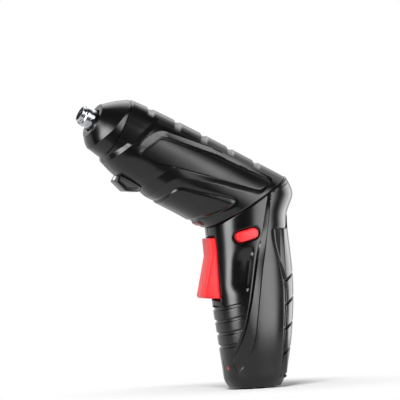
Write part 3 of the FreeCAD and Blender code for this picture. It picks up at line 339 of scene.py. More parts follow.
housing = {"radius": 22.31, "gripHeight": 103.0, "base": 1.0, "reach": 106.45,
           "square": 2 / 2.2,  # power that squares the sections a little
           "seam": 0.4, "wall": 2.4, "tilt": math.radians(30), "hub": 9.05,
           "parting": 0.03,  # half the gap between two halves
           "thinning": 1.0,  # relief that the wall takes up before its inner skin gives way
           "lipShare": 0.8}  # of the wall, by which the inner skin clears a closed end
handleShares = (  # height, front, back, half width
    (0.000, 0.551, 0.720, 0.578), (0.025, 0.631, 0.791, 0.649), (0.078, 0.689, 0.862, 0.702),
    (0.176, 0.733, 0.964, 0.742), (0.314, 0.800, 1.071, 0.787), (0.471, 0.880, 1.138, 0.822),
    (0.627, 0.911, 1.142, 0.849), (0.765, 0.924, 1.092, 0.880), (0.863, 0.960, 1.050, 0.925),
    (0.931, 0.975, 1.070, 0.955), (0.990, 0.990, 1.185, 0.985), (1.034, 1.000, 1.254, 1.003),
    (1.075, 1.006, 1.208, 1.010), (1.130, 1.013, 1.090, 1.016), (1.186, 1.020, 0.970, 1.020),
    (1.264, 1.020, 0.810, 1.020), (1.342, 1.020, 0.660, 1.020))
headShares = (  # reach, top, underside, half width
    (-0.169, 1.030, 1.030, 1.020), (-0.047, 1.022, 1.030, 1.018), (0.075, 1.006, 1.028, 1.008),
    (0.197, 0.996, 1.010, 0.992), (0.319, 0.984, 1.007, 0.976), (0.441, 0.967, 1.024, 0.955),
    (0.563, 0.944, 1.018, 0.931), (0.685, 0.913, 0.947, 0.896), (0.802, 0.867, 0.764, 0.818))
pivot = np.array((0.0, 0.0, housing["gripHeight"]))
swivelAxis = np.array((-math.sin(housing["tilt"]), 0.0, math.cos(housing["tilt"])))
rimWay = np.array((math.cos(housing["tilt"]), 0.0, math.sin(housing["tilt"])))


def folded(p):  # head's own axes to the frame, half a turn round the swivel
    p = np.asarray(p, float)
    return pivot + 2 * (p @ swivelAxis)[..., None] * swivelAxis - p


def sectionPoint(angle, front, back, half):
    c, s = -np.cos(angle), np.sin(angle)
    depth = np.where(c > 0, back, front)
    return (depth * np.sign(c) * np.abs(c) ** housing["square"],
            -half * np.sign(s) * np.abs(s) ** housing["square"])


def formDepth(shares, column, base, length, height):  # one column of a form's shares, in mm at a height
    table = np.array(shares)
    return throughPoints(base + table[:, 0] * length, table[:, column] * housing["radius"], height)


def formPoint(shares, base, length, angle, height):
    x, y = sectionPoint(angle, *[formDepth(shares, k, base, length, height) for k in (1, 2, 3)])
    return np.stack([x, y, height + 0 * x], -1)


handleSpan = housing["base"], housing["gripHeight"] - housing["base"]


def handlePoint(angle, z):
    return formPoint(handleShares, *handleSpan, angle, z)


def headPoint(angle, u):
    return formPoint(headShares, 0.0, housing["reach"], angle, u)


def outward(point, angle, height):  # normal of a form
    turn, rise = 0.0005, 0.01
    across = point(angle + turn, height) - point(angle - turn, height)
    along = point(angle, height + rise) - point(angle, height - rise)
    n = np.cross(across, along)
    return n / (np.linalg.norm(n, axis=-1, keepdims=True) + tiny)


def seamLevel(point, lift):  # height where a form meets the swivel plane, by angle
    margin, rounds = 0.2, 40
    angles = np.linspace(-margin, math.pi + margin, halfTurnSteps + 1)
    level = np.zeros_like(angles)
    for _ in range(rounds):
        level = lift + math.tan(housing["tilt"]) * point(angles, level)[:, 0]
    return lambda angle: np.interp(angle, angles, level)


seamDrop = housing["seam"] / 2 / math.cos(housing["tilt"])
handleTop = seamLevel(handlePoint, housing["gripHeight"] - seamDrop)
headRear = seamLevel(headPoint, seamDrop)


def hubRing(angle, side):  # round the hub, on the head's (1) or the handle's (-1) side of the seam
    ring = side * swivelAxis * housing["seam"] / 2 - housing["hub"] * np.cos(angle)[:, None] * rimWay
    ring[:, 1] -= housing["hub"] * np.sin(angle)
    return ring


def innerSkin(skin, normal, relief):
    return skin - normal * (housing["wall"] + np.maximum(0, -relief - housing["thinning"]))[..., None]


def keptAside(points):  # no point past the parting plane
    points[..., 1] = np.minimum(points[..., 1], -housing["parting"])
    return points


def chamfered(chamfer, distance):  # depth, flat and run of an edge's chamfer
    lift, flat, run = chamfer
    return lift * (1 - ramp(flat, run, distance))


# handle halves

handleShell = {
    "cols": 170, "rows": 280, "edgeRows": 8, "reach": 0.27,
    # long lines, as x and height
    "scoopLine": [(-9.6, 1.0), (-14.3, 18.6), (-11.2, 33.9), (-8.2, 48.1), (-7.4, 52.0), (-4.5, 69.2),
                  (-2.9, 79.0), (-1.0, 86.9), (2.4, 104.7), (3.0, 120.0)],
    "ribbonLine": [(-8.8, 1.0), (-13.3, 12.0), (-12.9, 18.6), (-9.6, 26.5), (-7.2, 33.9), (-4.0, 48.1),
                   (-0.2, 69.2), (3.4, 86.9), (6.9, 104.7), (7.6, 120.0)],
    "panelLine": [(-7.0, 1.0), (-11.6, 9.3), (-7.6, 15.4), (-4.0, 23.1), (-2.4, 30.0), (-1.4, 37.3),
                  (2.8, 65.7), (4.6, 75.1), (7.2, 92.4), (8.5, 104.0), (9.0, 106.0), (9.6, 120.0)],
    "rimLine": [(9.2, 106.6), (10.2, 107.8), (12.5, 109.0), (24.7, 114.2), (40.0, 121.0)],
    "underRim": [(40.0, 0.0), (0.0, 0.0), (9.2, 100.0)], "rimFrom": 104.0,
    "ribbonRise": 0.75, "ribbonFoot": (10.5, 19.0), "ribbonTurn": (70.0, 92.0), "ribbonEdge": 0.02,
    "grooveDepth": 0.9, "grooveShare": 0.7, "grooveRun": 1.9, "valley": 0.3, "valleyEnd": (98.0, 105.0),
    "panelRise": 0.2, "panelStep": 0.14, "panelFoot": (9.0, 22.0),
    "scoopEnds": (52.0, 79.0), "scoopEase": (7, 9), "scoopDepth": 1.9, "scoopRun": (-12.0, -0.5),
    "scoopPower": 1.3, "scoopLip": 1.2,
    "rearGrip": [(10.04, 87.90), (10.26, 82.60), (17.18, 57.1), (16.73, 37.72), (14.72, 17.32),
                 (12.27, 5.08), (35.7, 5.08), (35.7, 95.9), (22.8, 95.9), (21.8, 87.90)],
    "frontGrip": [(-8.3, 48.12), (-9.4, 36.7), (-10.5, 30.0), (-12.8, 23.44), (-15.0, 17.32),
                  (-26.8, 16.3), (-26.8, 45.88)],
    "gripRound": 3.0, "gripSink": 1.3, "gripSeat": (0.25, 0.6), "gripBlend": 1.6,
    "rimChamfer": (0.3, 0.2, 0.8), "partingChamfer": (0.22, 0, 0.5),  # depth, flat, run
    "slotChamfer": (0.45, 0, 0.9), "windowChamfer": (0.5, 0, 0.9),
    "slot": (6.9, 49.6, 85.0),  # half width, low, high
    "button": (-5.6, 85.0, 13.0, 5.9, math.radians(14), 0.25),  # x, z, length, height, tilt, play
    "light": (4.5, 12.0, 1.15),  # y, z, radius
    "foot": (5.5, 6.8, 5.8),  # x, half length, half width
}


def stadiumDistance(x, z, centreX, centreZ, length, height, tilt):
    a = (x - centreX) * math.cos(tilt) + (z - centreZ) * math.sin(tilt)
    b = -(x - centreX) * math.sin(tilt) + (z - centreZ) * math.cos(tilt)
    run = (length - height) / 2
    return height / 2 - np.hypot(a - np.clip(a, -run, run), b)


def handleHoles(p, lit):  # trigger slot, button window and charge light
    s = handleShell
    half, low, high = s["slot"]
    slot = np.where(p[..., 0] < 0, boxDistance(p[..., 1], p[..., 2], -half, half, low, high), nowhere)
    x, z, length, height, tilt, play = s["button"]
    window = stadiumDistance(p[..., 0], p[..., 2], x, z, length + 2 * play, height + 2 * play, tilt)
    y, z, radius = s["light"]
    light = np.where((p[..., 0] < 0) & lit, radius - np.hypot(p[..., 1] + y, p[..., 2] - z), nowhere)
    return slot, window, light


def gripBorder(outline, p):
    return insideDistance(rounded(handleShell[outline], handleShell["gripRound"]), p[..., 0], p[..., 2])


def handleRelief(p):
    s = handleShell
    x, y, z = p[..., 0], p[..., 1], p[..., 2]
    scoop, left, right = [alongLine(s[k], z) for k in ("scoopLine", "ribbonLine", "panelLine")]
    tilt = np.clip((right - x) / (right - left), 0, 1)  # 1 at the ribbon's front edge, 0 at the panel
    upper, foot, step = [softStep(*s[k], z) for k in ("ribbonTurn", "ribbonFoot", "panelFoot")]
    valley = s["valley"] * (1 - softStep(*s["valleyEnd"], z)) * step
    slope = (s["ribbonRise"] * (1 - upper) - s["grooveDepth"] * upper) * tilt * foot - valley * (1 - tilt)
    groove = s["grooveShare"] * s["grooveDepth"] * (1 - softStep(0, s["grooveRun"], left - x))
    d = np.where(x < left - s["ribbonEdge"], -groove * (1 - upper) * foot, slope)
    underRim = insideDistance(s["rimLine"] + s["underRim"], x, z)
    panel = np.minimum(x - right, np.where(z > s["rimFrom"], underRim, np.inf))
    rise = -valley + (valley + s["panelRise"] * step) * ramp(0, s["panelStep"], panel)
    d = np.where(x > right, np.where(panel > 0, rise, 0), d)
    low, high = s["scoopEnds"]
    easeLow, easeHigh = s["scoopEase"]
    ends = softStep(low, low + easeLow, z) * (1 - softStep(high - easeHigh, high, z))
    hollow = softStep(*s["scoopRun"], x - scoop) ** s["scoopPower"] * (1 - ramp(0, s["scoopLip"], x - scoop))
    d -= s["scoopDepth"] * ends * hollow
    below = (housing["gripHeight"] + math.tan(housing["tilt"]) * x - z) * math.cos(housing["tilt"])
    d -= chamfered(s["rimChamfer"], below)
    for outline in ("rearGrip", "frontGrip"):
        sunk = gripBorder(outline, p)
        d = d * ramp(0, s["gripBlend"], -sunk) - s["gripSink"] * ramp(*s["gripSeat"], sunk)
    slot, window, _ = handleHoles(p, False)
    d -= chamfered(s["slotChamfer"], -slot) + chamfered(s["windowChamfer"], -window)
    return d - chamfered(s["partingChamfer"], -y)


def handleHalf(lit):  # lit: with the hole for the charge light
    s = handleShell

    def heightOf(a, t):
        return housing["base"] + t * (handleTop(a) - housing["base"])

    def place(a, t):
        return handlePoint(a, heightOf(a, t))

    levels = np.linspace(0, 1, s["rows"] + 1)
    panelTop = [(x + s["panelStep"], z) for x, z in s["panelLine"]]
    guides = (s["scoopLine"], s["ribbonLine"], s["panelLine"], panelTop)
    angle, level, free = guided(place, guides, s["cols"], levels)
    creases = [lambda p, k=k: handleHoles(p, lit)[k] for k in range(3)]
    creases.append(lambda p: lineDistance(s["rimLine"], p[..., 0], p[..., 2]))
    creases += [lambda p, outline=outline: gripBorder(outline, p) for outline in ("rearGrip", "frontGrip")]
    for measure in creases:
        angle, level, free = settle(place, angle, level, free, measure, s["reach"])
    height = heightOf(angle, level)
    skin = handlePoint(angle, height)
    normal = outward(handlePoint, angle, height)
    hole = np.maximum.reduce(handleHoles(skin, lit))
    relief = handleRelief(skin)
    relief[0] = 0
    outer = skin + normal * relief[..., None]
    outer[:, [0, -1], 1] = -housing["parting"]
    inner = innerSkin(skin, normal, relief)
    x, a, b = s["foot"]
    footRing = np.stack([x - a * np.cos(angle[0]), -b * np.sin(angle[0]), housing["base"] + 0 * angle[0]], -1)
    hub = pivot + hubRing(angle[0], -1)
    share = np.linspace(0, 1, s["edgeRows"] + 1)[:, None, None]
    under = footRing + (outer[0] - footRing) * share[:-1]
    deck = outer[-1] + (hub - outer[-1]) * share[1:]
    upright = np.array((0, 0, housing["wall"]))
    inner[0] += upright * housing["lipShare"]
    inner[-1] -= swivelAxis * housing["wall"] * housing["lipShare"]
    outer = keptAside(np.concatenate([under, outer, deck]))
    inner = keptAside(np.concatenate([under + upright, inner, deck - swivelAxis * housing["wall"]]))
    hole = np.pad(hole, ((s["edgeRows"], s["edgeRows"]), (0, 0)), constant_values=nowhere)
    return walled(outer.reshape(-1, 3), inner.reshape(-1, 3), shellFaces(hole))


handleForms = {"handle_shell_left": handleHalf(True), "handle_shell_right": mirrored(*handleHalf(False))}
for name, form in handleForms.items():
    dressed(name, "handle", "black_plastic", *form)
    print(name, "faces:", len(form[1]))


# head halves, in the head's own axes: outlines as reach and depth, lines as depth and reach

headShell = {
    "cols": 150, "rows": 270, "edgeRows": 8, "reach": 0.27, "front": 85.37, "underside": 12,
    "panel": [(71.1, 8.5), (64.4, -6.7), (33.0, -12.3), (-4.0, -15.2), (0.4, -7.1), (50.0, 4.5), (59.6, 7.8)],
    "sunk": [(72.0, 8.5), (64.8, -8.5), (31.7, -14.3), (-4.4, -16.2), (0.4, -7.1), (50.0, 4.9), (56.9, 15.6),
             (57.4, 30.0), (99.0, 30.0), (99.0, 8.5)],
    "sunkEdge": [(73.6, 5.0), (72.9, -1.0), (66.0, -10.2), (31.0, -16.0), (-5.3, -17.2), (-0.4, -3.9),
                 (26.2, 2.2), (46.1, 8.2), (51.0, 16.0), (51.6, 31.0), (100.0, 31.0), (100.0, 5.0)],
    "pad": [(44.6, 15.0), (42.0, 12.2), (29.7, 9.3), (17.3, 6.1), (12.6, 5.0), (10.6, 5.8), (10.9, 8.2),
            (19.0, 18.9), (22.5, 21.4), (22.5, 30.0), (48.0, 30.0)],
    "neck": [(68.5, -30.0), (68.5, -14.0), (71.0, -8.0), (74.1, 0.3), (77.9, 6.2), (80.5, 12.2),
             (82.5, 17.0), (83.5, 30.0), (99.0, 30.0), (99.0, -30.0)],
    "corners": {"panel": 2.5, "sunk": 3.5, "sunkEdge": 3.5, "pad": 2.5},
    "ledgeLine": [(-18.0, -20.0), (-17.2, -5.3), (-16.0, 31.0), (-10.2, 66.0), (-6.0, 86.0)],
    "sunkTop": [(-16.8, -20.0), (-16.2, -4.4), (-14.3, 31.7), (-8.5, 64.8), (-4.6, 86.0)],
    "panelTop": [(-15.6, -20.0), (-15.2, -4.0), (-12.3, 33.0), (-6.7, 64.4), (-3.0, 86.0)],
    "panelFoot": [(-8.5, -20.0), (-7.1, 0.4), (4.5, 50.0), (7.8, 59.6), (8.5, 71.1), (9.5, 86.0)],
    "sunkDrop": 1.25, "jawUnder": (3.0, 9.0),
    "sunkRear": (-6.0, 24.0, 0.55), "jawFade": (58.0, 77.0, 0.75),  # from, to, share of the drop lost
    "panelWell": 0.9, "wellEdge": (0.02, 0.2),
    "padRise": 0.5, "padRun": 1.8, "padValley": 0.3, "valleyRun": 1.4,
    "neckDrop": 1.3, "neckRun": 2.2, "neckFade": (-16.5, -7.0),
    "ribEdge": -14.2, "ribGap": 0.5, "ribBlend": 4.5, "ribRise": 0.6, "ribEnd": 1.0, "ribEndRun": 0.6,
    "lamp": (5.3, 58.4, 72.6), "lock": (5.75, 16.2, 20.3),  # half width, low, high
    "rimChamfer": (0.35, 0.2, 0.9), "partingChamfer": (0.22, 0, 0.5),
}
ribGrooves = {"first": 5.2, "pitch": 16.9, "count": 5, "width": 4.8, "depth": 1.0}
ribSweep = {"head_shell_left": 0.05, "head_shell_right": 0.50}  # the cuts lean forward on the right half


def headHoles(p):  # work lamp and lock button
    holes = []
    for half, low, high in (headShell["lamp"], headShell["lock"]):
        box = boxDistance(p[..., 1], p[..., 2], -half, half, low, high)
        holes.append(np.where(p[..., 0] > headShell["underside"], box, nowhere))
    return holes


def headBorder(key, p):  # positive inside one of the head's outlines
    points = headShell[key]
    if key in headShell["corners"]:
        points = rounded(points, headShell["corners"][key])
    return insideDistance(points, p[..., 2], p[..., 0])


def neckDrop(u, v):
    s = headShell
    drop = s["neckDrop"] * ramp(0, s["neckRun"], insideDistance(s["neck"], u, v))
    return drop * softStep(*s["neckFade"], v)


def headPlace(angle, share):  # share 0 at the swivel seam, 1 at the nose cap
    low = headRear(angle)
    return headPoint(angle, low + share * (headShell["front"] - low))


def headGrid():
    s = headShell
    guides = [s[k] for k in ("ledgeLine", "sunkTop", "panelTop", "panelFoot")]
    return guided(headPlace, guides, s["cols"], np.linspace(0, 1, s["rows"] + 1))


def sunkLevel(u):  # depth of the sunk side, less towards the seam
    low, high, share = headShell["sunkRear"]
    return headShell["sunkDrop"] * (1 - share * (1 - softStep(low, high, u)))


def ribShare(u, v):  # 1 on the ribbed back of the head, 0 from the ledge down
    s = headShell
    top = np.minimum(alongLine(s["ledgeLine"], u) - s["ribGap"], s["ribEdge"])
    return softStep(0, s["ribBlend"], top - v)


def headRelief(p):
    s = headShell
    v, y, u = p[..., 0], p[..., 1], p[..., 2]
    edge, floor = np.maximum(headBorder("sunkEdge", p), 0), np.maximum(-headBorder("sunk", p), 0)
    low, high, share = s["jawFade"]
    jaw = 1 - share * softStep(low, high, u) * softStep(*s["jawUnder"], v)
    d = -sunkLevel(u) * edge / (edge + floor + tiny) * jaw
    d -= s["panelWell"] * ramp(*s["wellEdge"], headBorder("panel", p))
    pad = headBorder("pad", p)
    d += (s["padRise"] + s["padValley"]) * softStep(0, s["padRun"], pad)
    d -= s["padValley"] * (1 - softStep(0, s["valleyRun"], -pad)) + neckDrop(u, v)
    d += s["ribRise"] * ribShare(u, v) * ramp(0, s["ribEndRun"], s["front"] - s["ribEnd"] - u)
    above = (u - math.tan(housing["tilt"]) * v) * math.cos(housing["tilt"])
    return d - chamfered(s["rimChamfer"], above) - chamfered(s["partingChamfer"], -y)


def headHalf():
    s = headShell
    angle, level, free = headGrid()
    creases = [lambda p, k=k: headHoles(p)[k] for k in range(2)]
    creases += [lambda p, key=key: headBorder(key, p) for key in ("panel", "sunkEdge", "sunk", "neck", "pad")]
    for measure in creases:
        angle, level, free = settle(headPlace, angle, level, free, measure, s["reach"])
    skin = headPlace(angle, level)
    normal = outward(headPoint, angle, skin[..., 2])
    hole = np.maximum.reduce(headHoles(skin))
    relief = headRelief(skin)
    outer = skin + normal * relief[..., None]
    inner = innerSkin(skin, normal, relief)
    inner += swivelAxis * np.maximum(0, housing["wall"] - inner @ swivelAxis)[..., None]  # clear of the deck
    hub = hubRing(angle[0], 1)
    share = np.linspace(0, 1, s["edgeRows"] + 1)[:, None, None]
    deck = hub + (outer[0] - hub) * share[:-1]
    outer = np.concatenate([deck, outer])
    inner = np.concatenate([deck + swivelAxis * housing["wall"], inner])
    inner[-1] = outer[-1] - normal[-1] * housing["wall"]
    outer, inner = keptAside(outer), keptAside(inner)
    margin = (s["edgeRows"], 0), (0, 0)
    hole = np.pad(hole, margin, constant_values=nowhere)
    ribs = np.pad(ribShare(skin[..., 2], skin[..., 0]), margin).ravel()
    normals = np.pad(normal, (*margin, (0, 0))).reshape(-1, 3)
    verts, faces = walled(np.column_stack([outer.reshape(-1, 3), ribs, normals]),
                          np.column_stack([inner.reshape(-1, 3), 0 * ribs, normals]), shellFaces(hole))
    return verts[:, :3], faces, verts[:, 3], verts[:, 4:]


# groove tree: presses evenly spaced grooves into a surface, along its stored normals

def grooveTree():
    flatShare = 0.28  # of a groove's width, from its middle to the end of its floor
    tree = bpy.data.node_groups.new("pressGrooves", "GeometryNodeTree")

    def stored(name, kind):
        settings = {"data_type": kind}
        return addNode(tree, "GeometryNodeInputNamedAttribute", settings, {"Name": name}).outputs["Attribute"]

    sizes = [(name, "Float") for name in ("First", "Pitch", "Count", "Width", "Depth", "Sweep")]
    for name, kind in [("Geometry", "Geometry"), *sizes, ("Way", "Vector"), ("Material", "Material")]:
        tree.interface.new_socket(name, in_out="INPUT", socket_type="NodeSocket" + kind)
    tree.interface.new_socket("Geometry", in_out="OUTPUT", socket_type="NodeSocketGeometry")
    start = addNode(tree, "NodeGroupInput").outputs
    place = addNode(tree, "GeometryNodeInputPosition").outputs[0]
    along = addNode(tree, "ShaderNodeVectorMath", {"operation": "DOT_PRODUCT"}, {0: place, 1: start["Way"]})
    side = addNode(tree, "ShaderNodeSeparateXYZ", {}, {0: place}).outputs["Y"]
    swept = maths(tree, "MULTIPLY", maths(tree, "ABSOLUTE", side), start["Sweep"])
    lag = maths(tree, "SUBTRACT", along.outputs["Value"], swept)
    turn = maths(tree, "DIVIDE", maths(tree, "SUBTRACT", lag, start["First"]), start["Pitch"])
    last = maths(tree, "SUBTRACT", start["Count"], 1.0)
    nearest = addNode(tree, "ShaderNodeClamp", {}, {0: maths(tree, "ROUND", turn), 1: 0.0, 2: last})
    miss = maths(tree, "ABSOLUTE", maths(tree, "SUBTRACT", turn, nearest.outputs[0]))
    gap = maths(tree, "MULTIPLY", miss, start["Pitch"])
    half = maths(tree, "MULTIPLY", start["Width"], 0.5)
    flat = maths(tree, "MULTIPLY", start["Width"], flatShare)
    press = spread(tree, gap, 1.0, 0.0, flat, half, "SMOOTHSTEP")
    masked = maths(tree, "MULTIPLY", press, stored("grooved", "FLOAT"))
    down = maths(tree, "MULTIPLY", maths(tree, "MULTIPLY", masked, start["Depth"]), -1.0)
    shift = addNode(tree, "ShaderNodeVectorMath", {"operation": "SCALE"},
                    {0: stored("outward", "FLOAT_VECTOR"), "Scale": down}).outputs["Vector"]
    moved = addNode(tree, "GeometryNodeSetPosition", {}, {"Geometry": start["Geometry"], "Offset": shift})
    real = addNode(tree, "GeometryNodeRealizeInstances", {}, {0: moved.outputs[0]})
    coloured = addNode(tree, "GeometryNodeSetMaterial", {},
                       {"Geometry": real.outputs[0], "Material": start["Material"]})
    addNode(tree, "NodeGroupOutput", {}, {0: coloured.outputs[0]})
    return tree


pressGrooves = grooveTree()


def grooved(piece, mask, normals, values, way, material):  # runs the groove tree and keeps the plain mesh
    attributes = piece.data.attributes
    attributes.new("grooved", "FLOAT", "POINT").data.foreach_set("value", np.asarray(mask, np.float32))
    outwards = attributes.new("outward", "FLOAT_VECTOR", "POINT")
    outwards.data.foreach_set("vector", np.asarray(normals, np.float32).ravel())
    modifier = piece.modifiers.new("grooves", "NODES")
    modifier.node_group = pressGrooves
    sizes = {key.capitalize(): values[key] * mm for key in ("first", "pitch", "width", "depth")}
    sizes.update({"Count": float(values["count"]), "Sweep": values.get("sweep", 0.0),
                  "Way": tuple(way), "Material": material})
    for socket in pressGrooves.interface.items_tree:
        if socket.in_out == "INPUT" and socket.name in sizes:
            modifier[socket.identifier] = sizes[socket.name]
    piece.update_tag()
    bpy.context.view_layer.update()
    result = bpy.data.meshes.new_from_object(piece.evaluated_get(bpy.context.evaluated_depsgraph_get()))
    piece.modifiers.remove(modifier)
    piece.data = result
    for name in ("grooved", "outward"):
        result.attributes.remove(result.attributes[name])
    shade(result)


# side panels, let into the head halves

sidePanel = {"proud": -0.3, "thickness": 0.4, "gap": 0.03, "edgeChamfer": (0.1, 0, 0.5)}


def panelForm():
    s = sidePanel

    def border(p):
        return headBorder("panel", p) - s["gap"]

    angle, level, _ = settle(headPlace, *headGrid(), border, headShell["reach"])
    skin = headPlace(angle, level)
    normal = outward(headPoint, angle, skin[..., 2])
    inside = border(skin)
    recess = sunkLevel(skin[..., 2]) - s["proud"]
    outer = skin - normal * (recess + chamfered(s["edgeChamfer"], inside))[..., None]
    inner = skin - normal * (recess + s["thickness"])[..., None]
    return walled(outer.reshape(-1, 3), inner.reshape(-1, 3), shellFaces(-inside))


verts, faces = panelForm()
for name, form in (("side_panel_right", (verts, faces)), ("side_panel_left", mirrored(verts, faces))):
    dressed(name, "head", "panel_plastic", folded(form[0]), form[1])
print("side panels:", len(faces), "faces each")

verts, faces, ribMask, normals = headHalf()
headWay = folded(np.array((0.0, 0.0, 1.0))) - pivot
for name, form, side in (("head_shell_right", (verts, faces), 1),
                         ("head_shell_left", mirrored(verts, faces), -1)):
    ways = folded(normals * np.array((1, side, 1))) - pivot
    grooves = dict(ribGrooves, first=ribGrooves["first"] + float(pivot @ headWay), sweep=ribSweep[name])
    dressed(name, "head", "black_plastic", folded(form[0]), form[1], cuts=(ribMask, ways, grooves, headWay))
print("head halves:", len(faces), "faces each")


# nose cap

noseCap = {"around": 160, "joint": 85.5, "jointEdge": 0.15, "jointRows": 8, "coneRows": 14, "edgeRows": 4,
           "crease": (85.9, 93.2), "creaseRadius": (19.2, 17.0, 14.8), "bow": 0.5, "sharp": 24,
           "face": 98.25, "faceRadius": 10.3, "edge": 0.5, "pocket": 6.65, "pocketEdge": 0.35, "floor": 90.85,
           "bore": 5.6, "lipRear": 89.75, "bush": 8.05, "rear": 80.75, "boss": 12.0, "hollow": 88.0,
           "wall": 2.4, "hollowTaper": 1.5, "bossGap": 0.2}


def noseForm():
    s = noseCap
    angle = np.linspace(0, 2 * math.pi, s["around"], endpoint=False)
    under = (1 - np.cos(angle)) / 2  # 0 on top, 1 underneath
    front = np.full_like(angle, headShell["front"])
    joint = headPoint(angle, front)
    jointSpan = np.linalg.norm(joint[:, :2], axis=1)
    way = joint[:, :2] / jointSpan[:, None]
    jointRadius = jointSpan - neckDrop(front, joint[:, 0])
    creaseLevel = s["crease"][0] + (s["crease"][1] - s["crease"][0]) * softStep(0, 1, under)
    creaseRadius = throughPoints((0, 0.5, 1), s["creaseRadius"], under)
    rows = []

    def ring(radius, level):
        radius, level = radius + 0 * angle, level + 0 * angle
        rows.append(np.column_stack([way * radius[:, None], level]))

    ring(jointRadius - s["jointEdge"], s["joint"])
    shoulder = s["joint"] + s["jointEdge"]
    for k in range(s["jointRows"] + 1):
        t = k / s["jointRows"]
        ring(jointRadius + (creaseRadius - jointRadius) * t, shoulder + (creaseLevel - shoulder) * t)
    faceEdge = s["face"] - s["edge"]
    for k in range(1, s["coneRows"] + 1):
        t = k / s["coneRows"]
        radius = creaseRadius + (s["faceRadius"] - creaseRadius) * t + s["bow"] * math.sin(math.pi * t)
        ring(radius, creaseLevel + (faceEdge - creaseLevel) * t)
    for k in range(1, s["edgeRows"] + 1):
        t = math.pi / 2 * k / s["edgeRows"]
        ring(s["faceRadius"] - s["edge"] * (1 - math.cos(t)), faceEdge + s["edge"] * math.sin(t))
    ring(s["pocket"] + s["pocketEdge"], s["face"])
    ring(s["pocket"], s["face"] - s["pocketEdge"])
    for radius, level in (("pocket", "floor"), ("bore", "floor"), ("bore", "lipRear"), ("bush", "lipRear"),
                          ("bush", "rear"), ("boss", "rear"), ("boss", "hollow")):
        ring(s[radius], s[level])
    ring(np.maximum(jointRadius - s["wall"] - s["hollowTaper"], s["boss"] + s["bossGap"]), s["hollow"])
    ring(jointRadius - s["wall"], s["joint"])
    return np.concatenate(rows), ringFaces(len(rows), s["around"])


verts, faces = noseForm()
dressed("nose_cap", "head", "black_plastic", folded(verts), faces, noseCap["sharp"])
print("nose cap made")


# soft grips

rearGrip = {"rows": 260, "cols": 150, "low": 4.8, "high": 88.2, "overlap": 0.3, "proud": 0.5, "sink": 1.1,
            "round": 1.5, "tongue": 7.8, "tongueSides": (0.86, 0.96), "topBlend": 12,
            "crest": 16.6, "crestRise": 0.8, "crestRun": 2.4}
rearGrooves = {"first": 9.5, "pitch": 13.0, "count": 5, "width": 1.8, "depth": 1.35,
               "slant": 30, "from": 22.0}
frontGrip = {"rows": 160, "cols": 130, "low": 16.0, "high": 48.3, "overlap": 0.3, "proud": 0.05, "sink": 1.1,
             "round": 0.35, "topDip": 2.2, "topPower": 8, "topBlend": 6}
frontGrooves = {"first": 24.5, "pitch": 7.2, "count": 4, "width": 2.2, "depth": 0.9,
                "slant": 14, "from": -14.0}
gripLipShare = 0.6  # of the sink, down to which the rounded edge runs
gripSideLimit = 20  # outline points farther from the axis than this belong to the back or front


def gripForm(s, outline, back):
    heights = np.linspace(s["low"], s["high"], s["rows"] + 1)
    depth = formDepth(handleShares, 2 if back else 1, *handleSpan, heights)
    sides = sorted([p for p in outline if abs(p[0]) < gripSideLimit], key=lambda p: p[1])
    border = np.abs(throughPoints([p[1] for p in sides], [p[0] for p in sides], heights)) - s["overlap"]
    turn = np.arccos(np.clip((border / depth) ** (1 / housing["square"]), 0, 1))  # from the mid plane
    angle = (math.pi if back else 0.0) + turn[:, None] * np.linspace(-1, 1, s["cols"] + 1)[None, :]
    z = heights[:, None] + 0 * angle
    top = softStep(s["high"] - s["topBlend"], s["high"], z)
    if back:  # a tongue up the middle of the back
        z = z + s["tongue"] * softStep(*s["tongueSides"], -np.cos(angle)) * top
    else:  # top edge of the front grip slopes down to the front
        z = z - s["topDip"] * np.cos(angle) ** s["topPower"] * top
    skin = handlePoint(angle, z)
    normal = outward(handlePoint, angle, z)
    gaps = np.linalg.norm(np.diff(skin, axis=1), axis=2)
    run = np.concatenate([np.zeros((len(heights), 1)), np.cumsum(gaps, 1)], 1)
    ends = np.minimum(heights - s["low"], s["high"] - heights)[:, None]
    edge = np.minimum(np.minimum(run, run[:, -1:] - run), ends)
    ease = np.sqrt(1 - (1 - np.clip(edge / s["round"], 0, 1)) ** 2)
    lip = s["sink"] * gripLipShare
    lift = -lip + (s["proud"] + lip) * ease
    if "crest" in s:
        behind = np.clip((depth[:, None] - skin[..., 0]) / (depth[:, None] - s["crest"]), 0, 1)
        before = ramp(0, 1, 1 - (s["crest"] - skin[..., 0]) / s["crestRun"])
        lift = lift + s["crestRise"] * np.where(skin[..., 0] > s["crest"], behind, before) * ease
    outer = skin + normal * lift[..., None]
    inner = skin - normal * s["sink"]
    mask = np.concatenate([ease.ravel(), 0 * ease.ravel()])
    normals = np.concatenate([normal.reshape(-1, 3)] * 2)
    whole = shellFaces(np.full(angle.shape, nowhere))
    return *walled(outer.reshape(-1, 3), inner.reshape(-1, 3), whole), mask, normals


for name, sizes, grooves, outline in (("rear_grip", rearGrip, rearGrooves, "rearGrip"),
                                      ("front_grip", frontGrip, frontGrooves, "frontGrip")):
    verts, faces, mask, normals = gripForm(sizes, handleShell[outline], name == "rear_grip")
    slope = math.tan(math.radians(grooves["slant"]))
    values = dict(grooves, first=grooves["first"] - slope * grooves["from"])
    dressed(name, "handle", "grip_rubber", verts, faces, cuts=(mask, normals, values, (-slope, 0, 1)))
print("grips made")


# trigger, lamp housing and buttons, each a bevelled block

blockSharp = 40


def acrossMiddle(outline, form):
    return [(outline, -form["half"], form["half"])]


